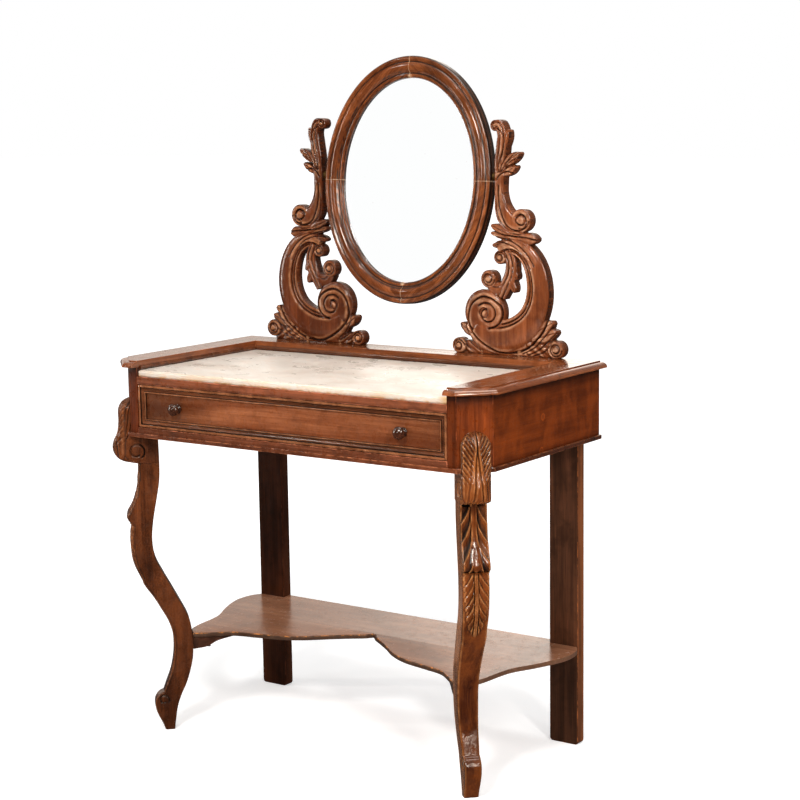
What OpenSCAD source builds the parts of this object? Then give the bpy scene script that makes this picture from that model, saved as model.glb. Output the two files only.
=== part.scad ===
// Washstand with a marble top, one drawer and a swing mirror.
// Millimetres. +Z up, the front faces -Y, +X to the viewer's right.
// The origin is on the floor, under the middle of the whole piece as it stands.

/* [Carcass] */
// Width over the side panels
body_w = 880; // [780:5:980]
// Depth from the drawer front's face to the back panel
body_d = 446; // [400:2:500]
// Height of the carcass's underside over the floor
body_z = 630; // [600:1:660]
// Height of the carcass
body_h = 142; // [134:1:160]
// Each leg of the 45 degree cut at the front corners
cant = 48; // [44:1:56]
// Width of the narrow face between the cut corner and the drawer
stile_w = 20; // [14:1:30]
// Thickness of the side panels
side_t = 20; // [16:1:26]
// Thickness of the back panel
back_t = 10; // [6:1:16]
// Depth of the corner posts, measured square to the cut corner
post_t = 54; // [50:1:58]
// Depth of the two front rails from front to back
rail_d = 20; // [16:1:26]
// Height of the rail under the drawer
lower_rail_h = 20; // [16:1:24]
// Height of the rail over the drawer
upper_rail_h = 15.5; // [12:0.5:20]
// Thickness of the drawer runners
runner_t = 12; // [9:1:14]
// Width of the drawer guides
guide_w = 14; // [10:1:20]
// Height of the drawer guides
guide_h = 20; // [12:1:30]
// How far the runners and kickers reach in past the posts
runner_in = 22; // [16:1:40]
// Projection of the lip round the carcass's foot
foot_lip = 6; // [4:0.5:10]
// Height of that lip
foot_lip_h = 9; // [6:0.5:14]

/* [Top] */
// Thickness of the wooden surround at its moulded edge
top_t = 13; // [11:0.5:18]
// Overhang of the surround's lower edge past the carcass
lip = 14.5; // [10:0.5:18]
// Width of the moulding from its lower edge to its upper edge
ovolo_w = 15.5; // [12:0.5:20]
// Overhang of the surround at the back
lip_back = 5.5; // [2:0.5:12]
// Width of the surround's back rail from the back edge of the carcass
back_rail_w = 64.5; // [50:0.5:90]
// Width of the strip that hangs from the surround's inner edge
skirt_w = 12; // [8:1:16]
// Bead that covers the marble's edge
bead_r = 1.6; // [1:0.1:2.5]
// Thickness of the marble slab
marble_t = 12; // [10:0.5:15]
// How far the marble's front edge stands behind the carcass front
marble_set = 6; // [2:0.5:12]
// Depth of the strip that carries the marble at the back
bearer_d = 40; // [30:1:60]

/* [Front legs] */
// Width of the carved knee
knee_w = 54; // [48:1:58]
// Reach of the knee's crest from the cut corner
knee_out = 38; // [36:0.5:42]
// How far the knee's rounded face falls back at its edges
knee_crown = 14; // [13:0.5:17]
// Width of the shank under the knee
shank_w = 51; // [44:1:54]
// Width of the foot
foot_w = 29; // [24:1:36]
// Radius of the leg screws
leg_screw_r = 2.5; // [2:0.25:3]

/* [Back legs] */
// Width of the back legs
back_leg_w = 65; // [50:1:76]
// Thickness of the back legs
back_leg_t = 25; // [22:1:34]
// Gap between a back leg and the side panel, filled by a block
back_leg_in = 14; // [8:1:24]
// Rounding of the back legs' lower corners
back_leg_r = 7; // [3:1:10]

/* [Shelf] */
// Height of the shelf's upper face
shelf_z = 205.5; // [190:0.5:215]
// Thickness of the shelf
shelf_t = 9; // [7:0.5:12]
// Width across the shelf's front corners where they meet the legs
shelf_tip_w = 36; // [30:1:40]
// Length of the wedge blocks under the shelf's front corners
wedge_l = 85; // [60:1:100]
// Height of the wedge blocks at the leg
wedge_h = 26; // [18:1:30]
// Width of the wedge blocks
wedge_w = 30; // [20:1:34]
// Distance from the leg to the shelf screw
shelf_screw_in = 34; // [25:1:45]

/* [Drawer] */
// Height of the drawer opening
opening_h = 88; // [84:1:96]
// Gap round the drawer front
drawer_gap = 1; // [0.6:0.1:2]
// Thickness of the drawer front's board
front_t = 18; // [15:0.5:22]
// Width of the moulding planted on the drawer front
frame_w = 17; // [12:1:24]
// Projection of that moulding
frame_t = 7; // [5:0.5:9]
// Thickness of the drawer sides and back
drawer_side_t = 10; // [8:0.5:14]
// Height of the drawer sides
drawer_side_h = 82; // [50:1:83]
// Gap between the drawer's back and the back legs
drawer_clear = 28; // [24:1:80]
// Thickness of the drawer bottom
drawer_bottom_t = 6; // [4:0.5:8]
// Height of the groove that holds the bottom
groove_z = 9; // [6:1:14]
// Depth of that groove
groove_d = 5; // [3:0.5:6]
// Distance from the ends of the drawer front to the knobs
knob_in = 99.5; // [70:0.5:150]
// Radius of the knobs
knob_r = 12.5; // [10:0.5:16]
// Projection of the knobs
knob_l = 24; // [18:1:30]
// Radius of the knobs' tenons
tenon_r = 4; // [3:0.25:5]

/* [Mirror] */
// Outer height of the oval frame
oval_h = 508; // [440:1:540]
// Outer width of the oval frame
oval_w = 412; // [380:1:440]
// Width of the frame's moulding
oval_band = 45; // [40:0.5:54]
// Thickness of the frame
oval_t = 24; // [22:0.5:30]
// Overlap of the frame on the glass
rebate_w = 10; // [6:0.5:14]
// Thickness of the mirror glass
glass_t = 4; // [3:0.5:5]
// Thickness of the backboard
backboard_t = 4; // [3:0.5:5]
// Height of the oval's middle over the surround
oval_z = 347.5; // [330:0.5:380]
// Height of the pivots over the oval's middle
pivot_up = 10; // [8:0.5:16]
// Angle by which the mirror leans back as it stands
mirror_lean = 5; // [0:0.5:10]
// Radius of the pivot pins
pivot_r = 3; // [2.5:0.25:4]
// Outer radius of the bushes that turn on the pins
bush_r = 5; // [4.75:0.25:6]
// Gap between the frame and a standard
swing_gap = 8; // [3:0.5:12]
// Radial play of a pivot pin in its bush
pivot_play = 0.05; // [0.02:0.01:0.08]

/* [Standards] */
// Height of the scroll standards
std_h = 472; // [440:1:500]
// Thickness of the standards
std_t = 24; // [18:0.5:28]
// Distance from the standards' rear face to the carcass's back
std_back = 1.8; // [0:0.1:10]
// Radius of the dowels under the standards
dowel_r = 4; // [3:0.5:5]
// Length of those dowels above the joint
dowel_up = 18; // [12:1:24]

/* [Hidden] */
$fn = 48;

// How close parts that move past each other come
slide_gap = 0.3;
// Play round a glued dowel, tenon, screw or bush
fit = 0.05;
// Length by which cutting solids pass the face they cut
eps = 1;
// Reach of the big blanks that are cut to shape
big = 2 * max(body_w, body_z + body_h);

mahogany = [0.40, 0.17, 0.09];
dark_mahogany = [0.27, 0.12, 0.07];
deal = [0.62, 0.45, 0.28];
marble = [0.90, 0.87, 0.81];
iron = [0.30, 0.29, 0.28];
brass = [0.70, 0.55, 0.28];
silver = [0.86, 0.88, 0.90];

// Reach past the carcass: in front the knobs or the lip, behind the lip or the leaning mirror
half_w = body_w / 2;
pivot_in = 9;
front_reach = max(lip, knob_l - frame_t - drawer_gap);
mirror_reach = pivot_in * cos(mirror_lean) + (oval_h / 2 - pivot_up) * sin(mirror_lean)
    - pivot_in - std_back;
back_reach = max(lip_back, mirror_reach);
front_y = front_reach - (body_d + front_reach + back_reach) / 2;
back_y = front_y + body_d;
top_z = body_z + body_h;
surround_z = top_z + top_t;
opening_w = half_w - cant - stile_w;
opening_z = body_z + lower_rail_h;
opening_top = opening_z + opening_h;
seat_z = opening_top + upper_rail_h;
marble_z = seat_z + marble_t;
inner_w = half_w - side_t;
side_front = front_y + cant;
leg_front = back_y - back_leg_t;
leg_out = inner_w - back_leg_in;
leg_in = leg_out - back_leg_w;
recess_y = back_y - back_rail_w;
runner_w = opening_w - runner_in;
// Distance between the faces x - y = constant of the cut corner and of the post's back
post_back = (half_w - side_front) - post_t * sqrt(2);

// ---- curves -----------------------------------------------------------------

// Point on the smooth curve from b to c, with a before and d after it
function blend4(a, b, c, d, t) =
    0.5 * (2 * b + (c - a) * t + (2 * a - 5 * b + 4 * c - d) * t * t
           + (3 * b - a - 3 * c + d) * t * t * t);

// Smooth curve through every point of an open list, n steps for each span
function smooth(p, n = 4) = concat(
    [for (i = [0:len(p) - 2]) for (k = [0:n - 1])
        blend4(p[max(i - 1, 0)], p[i], p[i + 1], p[min(i + 2, len(p) - 1)], k / n)],
    [p[len(p) - 1]]);

// Arc about c from angle a to angle b
function arc(c, r, a, b, n = 8) =
    [for (k = [0:n]) c + r * [cos(a + (b - a) * k / n), sin(a + (b - a) * k / n)]];

function flip(p) = [for (i = [len(p) - 1:-1:0]) p[i]];
function tail(p) = [for (i = [1:len(p) - 1]) p[i]];
function unit(v) = v / norm(v);
function along(p, i) = unit(p[min(i + 1, len(p) - 1)] - p[max(i - 1, 0)]);

// Outline of a strip whose centre line runs through [x, z, width] points
function ribbon(p) =
    let (s = smooth(p), m = [for (q = s) [q[0], q[1]]])
    concat(
        [for (i = [0:len(s) - 1]) let (d = along(m, i)) m[i] + s[i][2] / 2 * [-d[1], d[0]]],
        [for (i = [len(s) - 1:-1:0]) let (d = along(m, i)) m[i] - s[i][2] / 2 * [-d[1], d[0]]]);

// Outline of a leaf lobe from a to its round tip b, w wide at its fullest
function lobe(a, b, w, n = 8) =
    let (d = unit(b - a), l = norm(b - a), h = [-d[1], d[0]],
         wide = [for (k = [0:n]) w / 2 * pow(sin(180 * pow((k + 0.15) / (n + 0.3), 1.25)), 0.6)])
    concat([for (k = [0:n]) a + d * l * k / n + h * wide[k]],
           [for (k = [n:-1:0]) a + d * l * k / n - h * wide[k]]);

module pair(side) {
    mirror([side > 0 ? 0 : 1, 0, 0]) children();
}

// Box between two corners
module box(a, b) {
    translate(a) cube(b - a);
}

// ---- carcass ----------------------------------------------------------------

module side_panel(side) {
    color(mahogany) pair(side)
        box([inner_w, side_front, body_z], [half_w, back_y, top_z]);
}

// Plan of the right-hand post
post_plan = [
    [opening_w, front_y], [half_w - cant, front_y], [half_w, side_front],
    [inner_w, side_front], [inner_w, inner_w - post_back], [opening_w, opening_w - post_back]
];

// Everything in front of the post's back face, for pieces that fit behind it
module behind_post() {
    difference() {
        children();
        translate([0, 0, body_z - eps]) linear_extrude(big) polygon([
            [0, -big], [big, -big], [big, side_front], [inner_w, side_front],
            [inner_w, inner_w - post_back], [opening_w, opening_w - post_back],
            [opening_w, front_y + rail_d], [0, front_y + rail_d]]);
    }
}

module corner_post(side) {
    color(mahogany) pair(side) difference() {
        translate([0, 0, body_z]) linear_extrude(body_h) polygon(post_plan);
        for (z = leg_screw_z) on_corner() translate([0, 0, z]) leg_screw(fit);
    }
}

module back_panel() {
    color(deal) box([-leg_in, back_y - back_t, body_z], [leg_in, back_y, top_z]);
}

module upper_rail() {
    color(mahogany)
        box([-opening_w, front_y, opening_top], [opening_w, front_y + rail_d, seat_z]);
}

module lower_rail() {
    color(mahogany)
        box([-opening_w, front_y, body_z], [opening_w, front_y + rail_d, opening_z]);
}

// Carcass outline grown by g, as a plan
module carcass_plan(g) {
    k = g * (sqrt(2) - 1);
    polygon([
        [-half_w - g, back_y], [-half_w - g, side_front - k], [-half_w + cant - k, front_y - g],
        [half_w - cant + k, front_y - g], [half_w + g, side_front - k], [half_w + g, back_y]
    ]);
}

module foot_lip_ring() {
    translate([0, 0, body_z]) linear_extrude(foot_lip_h) difference() {
        carcass_plan(foot_lip);
        carcass_plan(0);
    }
}

// The lip stops on both sides of the carved knees
module foot_moulding_front() {
    color(mahogany) difference() {
        foot_lip_ring();
        for (side = [-1, 1]) pair(side) on_corner()
            box([-big, -knee_w / 2 - fit, 0], [big, big, big]);
    }
}

module foot_moulding_side(side) {
    color(mahogany) pair(side) difference() {
        foot_lip_ring();
        on_corner() box([-big, -big, 0], [big, knee_w / 2 + fit, big]);
    }
}

module drawer_runner(side) {
    color(deal) pair(side) behind_post()
        box([runner_w, front_y, opening_z - runner_t], [inner_w, leg_front, opening_z]);
}

module drawer_guide(side) {
    color(deal) pair(side) box(
        [opening_w, opening_w + guide_w - post_back, opening_z],
        [opening_w + guide_w, leg_front, opening_z + guide_h]);
}

module drawer_kicker(side) {
    color(deal) pair(side) behind_post()
        box([runner_w, front_y, opening_top], [inner_w, leg_front, seat_z]);
}

module marble_bearer() {
    color(deal) box(
        [-runner_w, recess_y - bearer_d / 2, opening_top],
        [runner_w, recess_y + bearer_d / 2, seat_z]);
}

// Block that fills the corner between a back leg and the side panel
module back_corner_block(side) {
    color(deal) pair(side) box([leg_out, leg_front, body_z], [inner_w, back_y, top_z]);
}

stop_w = 30;
stop_d = 12;
stop_h = 6;
stop_x = opening_w / 2;
drawer_front_y = front_y + drawer_gap;
stop_y = drawer_front_y + frame_t + front_t + slide_gap;
module drawer_stops() {
    color(deal) for (x = [-stop_x, stop_x]) union() {
        box([x - stop_w / 2, front_y + rail_d, opening_z - runner_t],
            [x + stop_w / 2, stop_y + stop_d, opening_z]);
        box([x - stop_w / 2, stop_y, opening_z - runner_t],
            [x + stop_w / 2, stop_y + stop_d, opening_z + stop_h]);
    }
}

// ---- top --------------------------------------------------------------------

// Moulded edge: p runs in from the lower arris, z up from the underside
ovolo_foot = 1.5;
ovolo_step = 2.5;
edge_curve = concat(
    [[0, 0]],
    [for (a = [0:15:90]) [
        (ovolo_w - 2) * (1 - cos(a)),
        ovolo_foot + (top_t - ovolo_foot - ovolo_step) * sin(a)]],
    [[ovolo_w, top_t - ovolo_step], [ovolo_w, top_t]]);

// Blank whose +X edge is moulded, with the lower arris at x = 0
module moulded_blank() {
    translate([0, big, top_z]) rotate([90, 0, 0]) linear_extrude(2 * big)
        polygon(concat([for (p = edge_curve) [-p[0], p[1]]], [[-big, top_t], [-big, 0]]));
}

module top_outline() {
    intersection() {
        translate([half_w + lip, 0, 0]) moulded_blank();
        translate([half_w - cant / 2, front_y + cant / 2, 0]) rotate([0, 0, -45])
            translate([lip, 0, 0]) moulded_blank();
        translate([0, front_y - lip, 0]) rotate([0, 0, -90]) moulded_blank();
        box([0, -big, 0], [big, back_y + lip_back, big]);
    }
}

// Strip of length l under the surround's inner edge, whose bead starts after its first c
module skirt(l, c) {
    rotate([90, 0, 0]) union() {
        linear_extrude(l) translate([0, seat_z]) square([skirt_w, top_z - seat_z + eps]);
        translate([0, 0, c]) linear_extrude(l - c) intersection() {
            translate([0, marble_z + slide_gap + bead_r]) circle(bead_r, $fn = 24);
            translate([-bead_r, marble_z]) square([skirt_w, 4 * bead_r]);
        }
    }
}

module top_rail(side) {
    color(mahogany) pair(side) union() {
        difference() {
            top_outline();
            box([-big, -big, 0], [opening_w, big, big]);
        }
        behind_post() translate([opening_w, recess_y, 0])
            skirt(recess_y - opening_w + post_back, bead_r);
    }
}

module top_rail_back() {
    color(mahogany) difference() {
        union() {
            box([-opening_w, recess_y, top_z], [opening_w, back_y + lip_back, surround_z]);
            translate([-opening_w, recess_y, 0]) rotate([0, 0, 90]) skirt(2 * opening_w, 0);
        }
        for (side = [-1, 1]) pair(side) standard_dowel_pair(fit);
    }
}

nose_r = 4;
marble_x = opening_w - slide_gap;
marble_back = recess_y - slide_gap;
// Chamfer of the slab's side and back edges, which lie under the surround's bead
arris = bead_r + slide_gap;
module marble_slab() {
    nose = [front_y + marble_set + nose_r, marble_t - nose_r];
    color(marble) translate([0, 0, seat_z]) intersection() {
        rotate([90, 0, 90]) linear_extrude(2 * marble_x + 2 * eps, center = true) polygon(concat(
            arc(nose, nose_r, 90, 180),
            arc([nose[0], nose_r / 2], nose_r, 180, 210, 2),
            [[nose[0], 0], [marble_back, 0], [marble_back, marble_t - arris],
             [marble_back - arris, marble_t]]));
        rotate([90, 0, 0]) linear_extrude(2 * big, center = true) polygon([
            [-marble_x, 0], [marble_x, 0], [marble_x, marble_t - arris],
            [marble_x - arris, marble_t], [arris - marble_x, marble_t], [-marble_x, marble_t - arris]]);
    }
}

// ---- front legs -------------------------------------------------------------

// In a leg's own plane: a runs out from the cut corner's face, z is the height.
// The leg is drawn for the measured knee and carcass, and stretches with both.
leg_a = knee_out / 38;
leg_k = body_z / 630;
leg_top = 706 * leg_k;
knee_bottom = 571 * leg_k;
knee_front = smooth([
    [0, 706], [15, 698], [24, 682], [24.5, 656], [28, 632], [35.5, 616], [38, 602],
    [34, 588], [23, 577], [9, 573], [-12, 571]]);
leaf_front = smooth([[-12, 571], [-11, 548], [-8, 518], [-3, 497], [5, 480], [13, 463], [14, 453], [6, 441]]);
shank_front = smooth([
    [6, 441], [9, 417], [9, 398], [6, 367], [-3, 341], [-17, 313], [-34, 288], [-50, 260],
    [-63, 235], [-71, 209], [-73.5, 186], [-72, 157], [-66, 127], [-57, 103], [-49, 82]]);
foot_front = smooth([[-49, 82], [-39, 77], [-31.5, 65], [-31, 49], [-36, 33], [-45, 14], [-50, 0]]);
leg_back = smooth([
    [-70, 0], [-71.5, 14], [-77, 48], [-86, 75], [-97, 99], [-106, 128], [-111.5, 155],
    [-113, 185], [-111, 212], [-105, 241], [-89.5, 273], [-73.5, 304], [-56.5, 336], [-43.5, 363],
    [-37, 390], [-35.5, 415], [-37.5, 440], [-42, 468], [-49, 504], [-54, 536], [-55, 571],
    [-54, 630]]);
leg_side = [
    for (p = concat(knee_front, tail(leaf_front), tail(shank_front), tail(foot_front),
                    leg_back, [[0, 630]]))
        [p[0] * leg_a, p[1] * leg_k]];

// Half width of the leg at each height, as the front shows it
shank_edge = smooth([
    [foot_w * 14.5 / 29, 0], [foot_w * 15.5 / 29, 30], [foot_w * 16.7 / 29, 60],
    [foot_w * 16.5 / 29, 78], [foot_w * 17.3 / 29, 100], [foot_w * 20 / 29, 160],
    [shank_w * 21 / 51, 220], [shank_w * 24 / 51, 330], [shank_w / 2, 420], [shank_w / 2, 571]]);
leg_face = concat(
    [for (p = shank_edge) [p[0], p[1] * leg_k]],
    [[knee_w / 2, knee_bottom]], arc([0, leg_top - knee_w / 2], knee_w / 2, 0, 90, 10));

// Height of the lower screw over the carcass's underside, and from there to the upper one
leg_screw_up = 34;
leg_screw_pitch = 28;
leg_screw_z = [body_z + leg_screw_up, body_z + leg_screw_up + leg_screw_pitch];
leg_screw_l = 64;
leg_screw_head = 4.5;
leg_screw_head_h = 3;
// Frame of the right-hand cut corner: +X out of its face, Z up
module on_corner() {
    translate([half_w - cant / 2, front_y + cant / 2, 0]) rotate([0, 0, -45]) children();
}

// Screw from the post's back face into the leg, g bigger all round
module leg_screw(g) {
    translate([-post_t, 0, 0]) rotate([0, 90, 0]) {
        cylinder(r = leg_screw_r + g, h = leg_screw_l + g);
        cylinder(r = leg_screw_head + g, h = leg_screw_head_h + g);
    }
}

module leg_blank() {
    intersection() {
        rotate([90, 0, 0]) linear_extrude(knee_w + 2, center = true)
            polygon(leg_side);
        rotate([90, 0, 90]) linear_extrude(big, center = true)
            polygon(concat(leg_face, [for (p = tail(flip(leg_face))) [-p[0], p[1]]]));
    }
}

// Block that takes the knee's square front edges off
module knee_round() {
    translate([0, 0, knee_bottom - eps]) linear_extrude(leg_top - knee_bottom + 2 * eps)
        difference() {
            translate([0, -knee_w / 2 - eps]) square([knee_w, knee_w + 2 * eps]);
            polygon(concat(
                [for (k = [-8:8]) [
                    knee_out - knee_crown * pow(k / 8, 2),
                    k / 8 * (knee_w / 2 + 2 * eps)]],
                [[-eps, knee_w], [-eps, -knee_w]]));
        }
}

module front_leg(side) {
    color(mahogany) pair(side) on_corner() difference() {
        leg_blank();
        knee_round();
        for (z = leg_screw_z) translate([0, 0, z]) leg_screw(fit);
    }
}

module leg_screws() {
    color(iron) for (side = [-1, 1]) pair(side) on_corner()
        for (z = leg_screw_z) translate([0, 0, z]) leg_screw(0);
}

// ---- back legs --------------------------------------------------------------

module back_leg(side) {
    color(mahogany) pair(side) translate([0, back_y, 0]) rotate([90, 0, 0])
        linear_extrude(back_leg_t) polygon(concat(
            arc([leg_in + back_leg_r, back_leg_r], back_leg_r, 180, 270, 6),
            arc([leg_out - back_leg_r, back_leg_r], back_leg_r, 270, 360, 6),
            [[leg_out, top_z], [leg_in, top_z]]));
}

// ---- shelf ------------------------------------------------------------------

leg_centre = [half_w - cant / 2, front_y + cant / 2];
outward = [1, -1] / sqrt(2);
// Where the legs' rear edge stands at a height
function leg_rear(z) = leg_a * lookup(z / leg_k, [for (p = leg_back) [p[1], p[0]]]);
shelf_tip_a = min(leg_rear(shelf_z), leg_rear(shelf_z - shelf_t)) - slide_gap;
tip = leg_centre + outward * shelf_tip_a;
tip_half = shelf_tip_w / 2 * [1, 1] / sqrt(2);
shelf_bottom = shelf_z - shelf_t;
// The outline is drawn for the measured carcass and stretches with its width and depth
wide_k = body_w / 880;
deep_k = body_d / 446;
// How far the shelf's side stands in from the back leg's face, and its back edge from the legs'
shelf_in = 2;
shelf_short = 2.5;
shelf_back = back_y - shelf_short;

// Right half of the outline: the front from the middle cusp to the leg, the side, the back.
// x is measured from the middle or from the back leg, y from the carcass's back.
function at(x, y) = [x * wide_k, back_y - y * deep_k];
side_curve = smooth([
    tip + tip_half,
    tip + tip_half + [8 * wide_k, 30 * deep_k],
    [leg_out, 0] + at(-39, 226),
    [leg_out, 0] + at(-13, 170),
    [leg_out, 0] + at(6, 122),
    [leg_out, 0] + at(14, 84),
    [leg_out, 0] + at(10, 48),
    [leg_out - shelf_in, leg_front]]);
front_curve = smooth([
    at(0, 161),
    at(13, 176),
    at(38, 194),
    at(72, 220),
    at(110, 252),
    at(155, 276),
    at(210, 290),
    at(260, 304),
    tip - tip_half + [-18 * wide_k, 14 * deep_k],
    tip - tip_half]);
half_shelf = concat(front_curve, side_curve, [[leg_in, leg_front], [leg_in, shelf_back]]);

module shelf() {
    color(mahogany) difference() {
        translate([0, 0, shelf_bottom]) linear_extrude(shelf_t) polygon(concat(
            half_shelf, [for (i = [len(half_shelf) - 1:-1:1]) [-half_shelf[i][0], half_shelf[i][1]]]));
        for (side = [-1, 1]) pair(side) on_corner() shelf_screw(fit);
    }
}

// Wedge under the shelf, against the leg's rear edge
wedge_a = min(leg_rear(shelf_bottom), leg_rear(shelf_bottom - wedge_h)) - slide_gap;
module shelf_block(side) {
    color(dark_mahogany) pair(side) on_corner() difference() {
        translate([0, wedge_w / 2, 0]) rotate([90, 0, 0]) linear_extrude(wedge_w) polygon(concat(
            [[wedge_a, shelf_bottom], [wedge_a - wedge_l, shelf_bottom]],
            smooth([[wedge_a - wedge_l, shelf_bottom - wedge_h * 3 / 26],
                    [wedge_a - wedge_l * 0.6, shelf_bottom - wedge_h * 11 / 26],
                    [wedge_a - wedge_l * 0.35, shelf_bottom - wedge_h * 22 / 26],
                    [wedge_a, shelf_bottom - wedge_h]])));
        shelf_screw(fit);
    }
}

// The screw's tapered block leaves its head standing clear of the wood
shelf_screw_r = 2;
shelf_head_r = 3.6;
shelf_head_h = 3;
module shelf_screw(g) {
    translate([wedge_a - shelf_screw_in, 0, shelf_bottom - wedge_h]) {
        cylinder(r = shelf_screw_r + g, h = wedge_h + shelf_t / 2 + g);
        cylinder(r = shelf_head_r + g, h = shelf_head_h + g);
    }
}

module shelf_screws() {
    color(iron) for (side = [-1, 1]) pair(side) on_corner() shelf_screw(0);
}

// ---- standards --------------------------------------------------------------

// Drawn for a standard 472 high: x runs out from the stem's inner edge, z up from the surround.
// The two were cut by hand and differ a little, so s is 1 for the right-hand one and -1 for the left.
std_k = std_h / 472;
stem_x = oval_w / 2 + swing_gap;
std_rear = back_y - std_back;

// Volutes: [x, z, radius]
function volutes(s) = [
    [-26, 84.5, 47],                            // great volute inside the lower scroll
    [-15, s > 0 ? 153 : 160, 18],               // small volute over it
    [61, 271.5, 23],                            // volute at the stem's foot
    [12, 197.5, 14],                            // hook at the lower scroll's top
    [s > 0 ? 2 : -1, 459.5, 11],                // curl at the very top
    [140, s > 0 ? 18 : 25, 18],                 // outer foot
    [-87, 15, 16]                               // inner foot
];
// Strips: [x, z, width] along their middle
function strips() = [
    [[-46, 53.5, 50], [-24, 39.5, 64], [11, 36.5, 66], [48, 47.5, 64], [78, 70.5, 60],
     [95, 103.5, 55], [99, 140.5, 51], [91, 177.5, 46], [73, 205.5, 40], [48, 219.5, 33],
     [26, 219.5, 27], [10, 211.5, 22]],                                          // lower scroll
    [[12, 400.5, 24], [12, 372, 24], [11.3, 345, 22.6], [11.3, 325, 22.6], [14, 303, 29],
     [22, 281.5, 38], [38, 265.5, 38], [56, 263.5, 36]],                         // stem
    [[13, 390, 26], [17, 420.5, 25], [18, 441.5, 22], [12, 459, 22], [2, 461.5, 17]], // crest
    [[11, 250.5, 26], [36, 237.5, 30], [66, 233.5, 30]],                         // collar leaf
    [[26, 211.5, 20], [36, 187.5, 26], [35, 163.5, 30], [24, 141.5, 28], [12, 118, 24]],
    [[-17, 150, 22], [-4, 136, 28], [11, 136, 25], [23, 143, 22]],               // volute's stalk
    [[-87, 12.5, 29], [0, 12.5, 25], [86, 22, 44], [120, 20, 40], [140, 16, 32]] // foot
];
// Leaf lobes: [root, tip, width]
function lobes(s) = [
    [[16, 402], [32, 451], 17],
    [[14, 378], [57, 405.5], 20],
    [[14, 358], [49, 379], 17],
    [[36, 243], [-9, 261], 18],
    [[36, 236], [-10, 246], 14],
    [[36, 227], [-6, 220.5], 16],
    [[52, 238.5], [s > 0 ? 97 : 88, 233.5], 24],
    [[34, 182], [50, 153.5], 17],
    [[31, 162], [45, 127.5], 17],
    [[84, 44], [132, 71.5], 26],
    [[84, 34], [141, 53], 26],
    [[-46, 34], [-83, 60.5], 22]
];

// The left-hand crest reaches higher
function lift(z, s) = z + (s > 0 ? -1 : 6) * min(max((z - 340) / 60, 0), 1);
function lift_all(p, s) = [for (q = p) [q[0], lift(q[1], s), q[2]]];

// Two dowels stand in the thick of the lower scroll
dowel_x = [-34 * std_k, 52 * std_k];
dowel_down = 9;
module standard_dowel_pair(g) {
    for (x = dowel_x)
        translate([stem_x + x, std_rear - std_t / 2, surround_z - dowel_down - g])
            cylinder(r = dowel_r + g, h = dowel_down + dowel_up + 2 * g);
}

// Slits narrower than twice this are closed
slit = 0.8;
module standard_outline(s) {
    intersection() {
        offset(delta = -slit / std_k) offset(delta = slit / std_k) union() {
            for (v = lift_all(volutes(s), s)) translate([v[0], v[1]]) circle(v[2]);
            for (r = strips()) polygon(ribbon(lift_all(r, s)));
            for (l = lobes(s))
                polygon(lobe([l[0][0], lift(l[0][1], s)], [l[1][0], lift(l[1][1], s)], l[2]));
        }
        translate([-big, 0]) square(2 * big);
    }
}

module standard(side) {
    color(mahogany) pair(side) difference() {
        translate([stem_x, std_rear, surround_z]) rotate([90, 0, 0])
            linear_extrude(std_t) scale(std_k) standard_outline(side);
        standard_dowel_pair(fit);
        pivot_axis() translate([0, 0, stem_x - eps])
            cylinder(r = pivot_r + fit, h = pin_hold + eps + fit);
    }
}

module standard_dowels() {
    color(deal) for (side = [-1, 1]) pair(side) standard_dowel_pair(0);
}

// ---- mirror -----------------------------------------------------------------

oval_mid = surround_z + oval_z;
pivot_z = oval_mid + pivot_up;
// The pivots stand pivot_in in front of the frame's rear face
pivot_y = std_rear - pivot_in;
// Length of a bush, of the pin's hold in the standard, and radius of the pin's collar
bush_l = 14;
pin_hold = 15;
collar_r = 8;
plate_gap = 0.2;
rebate_play = 2.2;
rebate_d = glass_t + backboard_t + rebate_play;
bush_x = oval_w / 2 * sqrt(1 - pow(2 * pivot_up / oval_h, 2));

// Frame of the right-hand pivot: +Z along the axis, away from the mirror
module pivot_axis() {
    translate([0, pivot_y, pivot_z]) rotate([0, 90, 0]) children();
}

// The mirror's parts are drawn upright and lean about the pivots
module leaning() {
    translate([0, pivot_y, pivot_z]) rotate([-mirror_lean, 0, 0])
        translate([0, -pivot_y, -pivot_z]) children();
}

// Section of the frame: s runs in from the outer edge, h forward from the rear face
section = concat(
    [for (p = [
        [0, 0], [0, 15], [0.04, 19], [0.13, 21.5], [0.21, 21], [0.265, 19.6], [0.32, 21.2],
        [0.42, 23.5], [0.53, 24], [0.64, 22.5], [0.74, 18.6], [0.79, 16.6], [0.85, 17.6],
        [0.91, 17.5], [0.965, 15.6], [1, 13]]) [p[0] * oval_band, p[1] * oval_t / 24]],
    [[oval_band, rebate_d], [oval_band - rebate_w, rebate_d], [oval_band - rebate_w, 0]]);

// Point s inside the oval's outer edge, at parameter t
function oval(t, s) =
    let (a = oval_w / 2, b = oval_h / 2, n = unit([b * cos(t), a * sin(t)]))
    [a * cos(t), b * sin(t)] - s * n;

steps = 22;
// Quarter of the moulded oval from angle t0, in its own plane: x, z and h forward
module frame_quarter(t0) {
    n = len(section);
    rings = [for (k = [0:steps]) for (p = section)
        let (q = oval(t0 + 90 * k / steps, p[0])) [q[0], -p[1], q[1]]];
    sides = [for (k = [0:steps - 1]) for (i = [0:n - 1])
        let (a = k * n + i, b = k * n + (i + 1) % n) [a, b, b + n, a + n]];
    translate([0, std_rear, oval_mid]) polyhedron(rings, concat(
        sides, [[for (i = [n - 1:-1:0]) i]], [[for (i = [0:n - 1]) steps * n + i]]));
}

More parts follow.
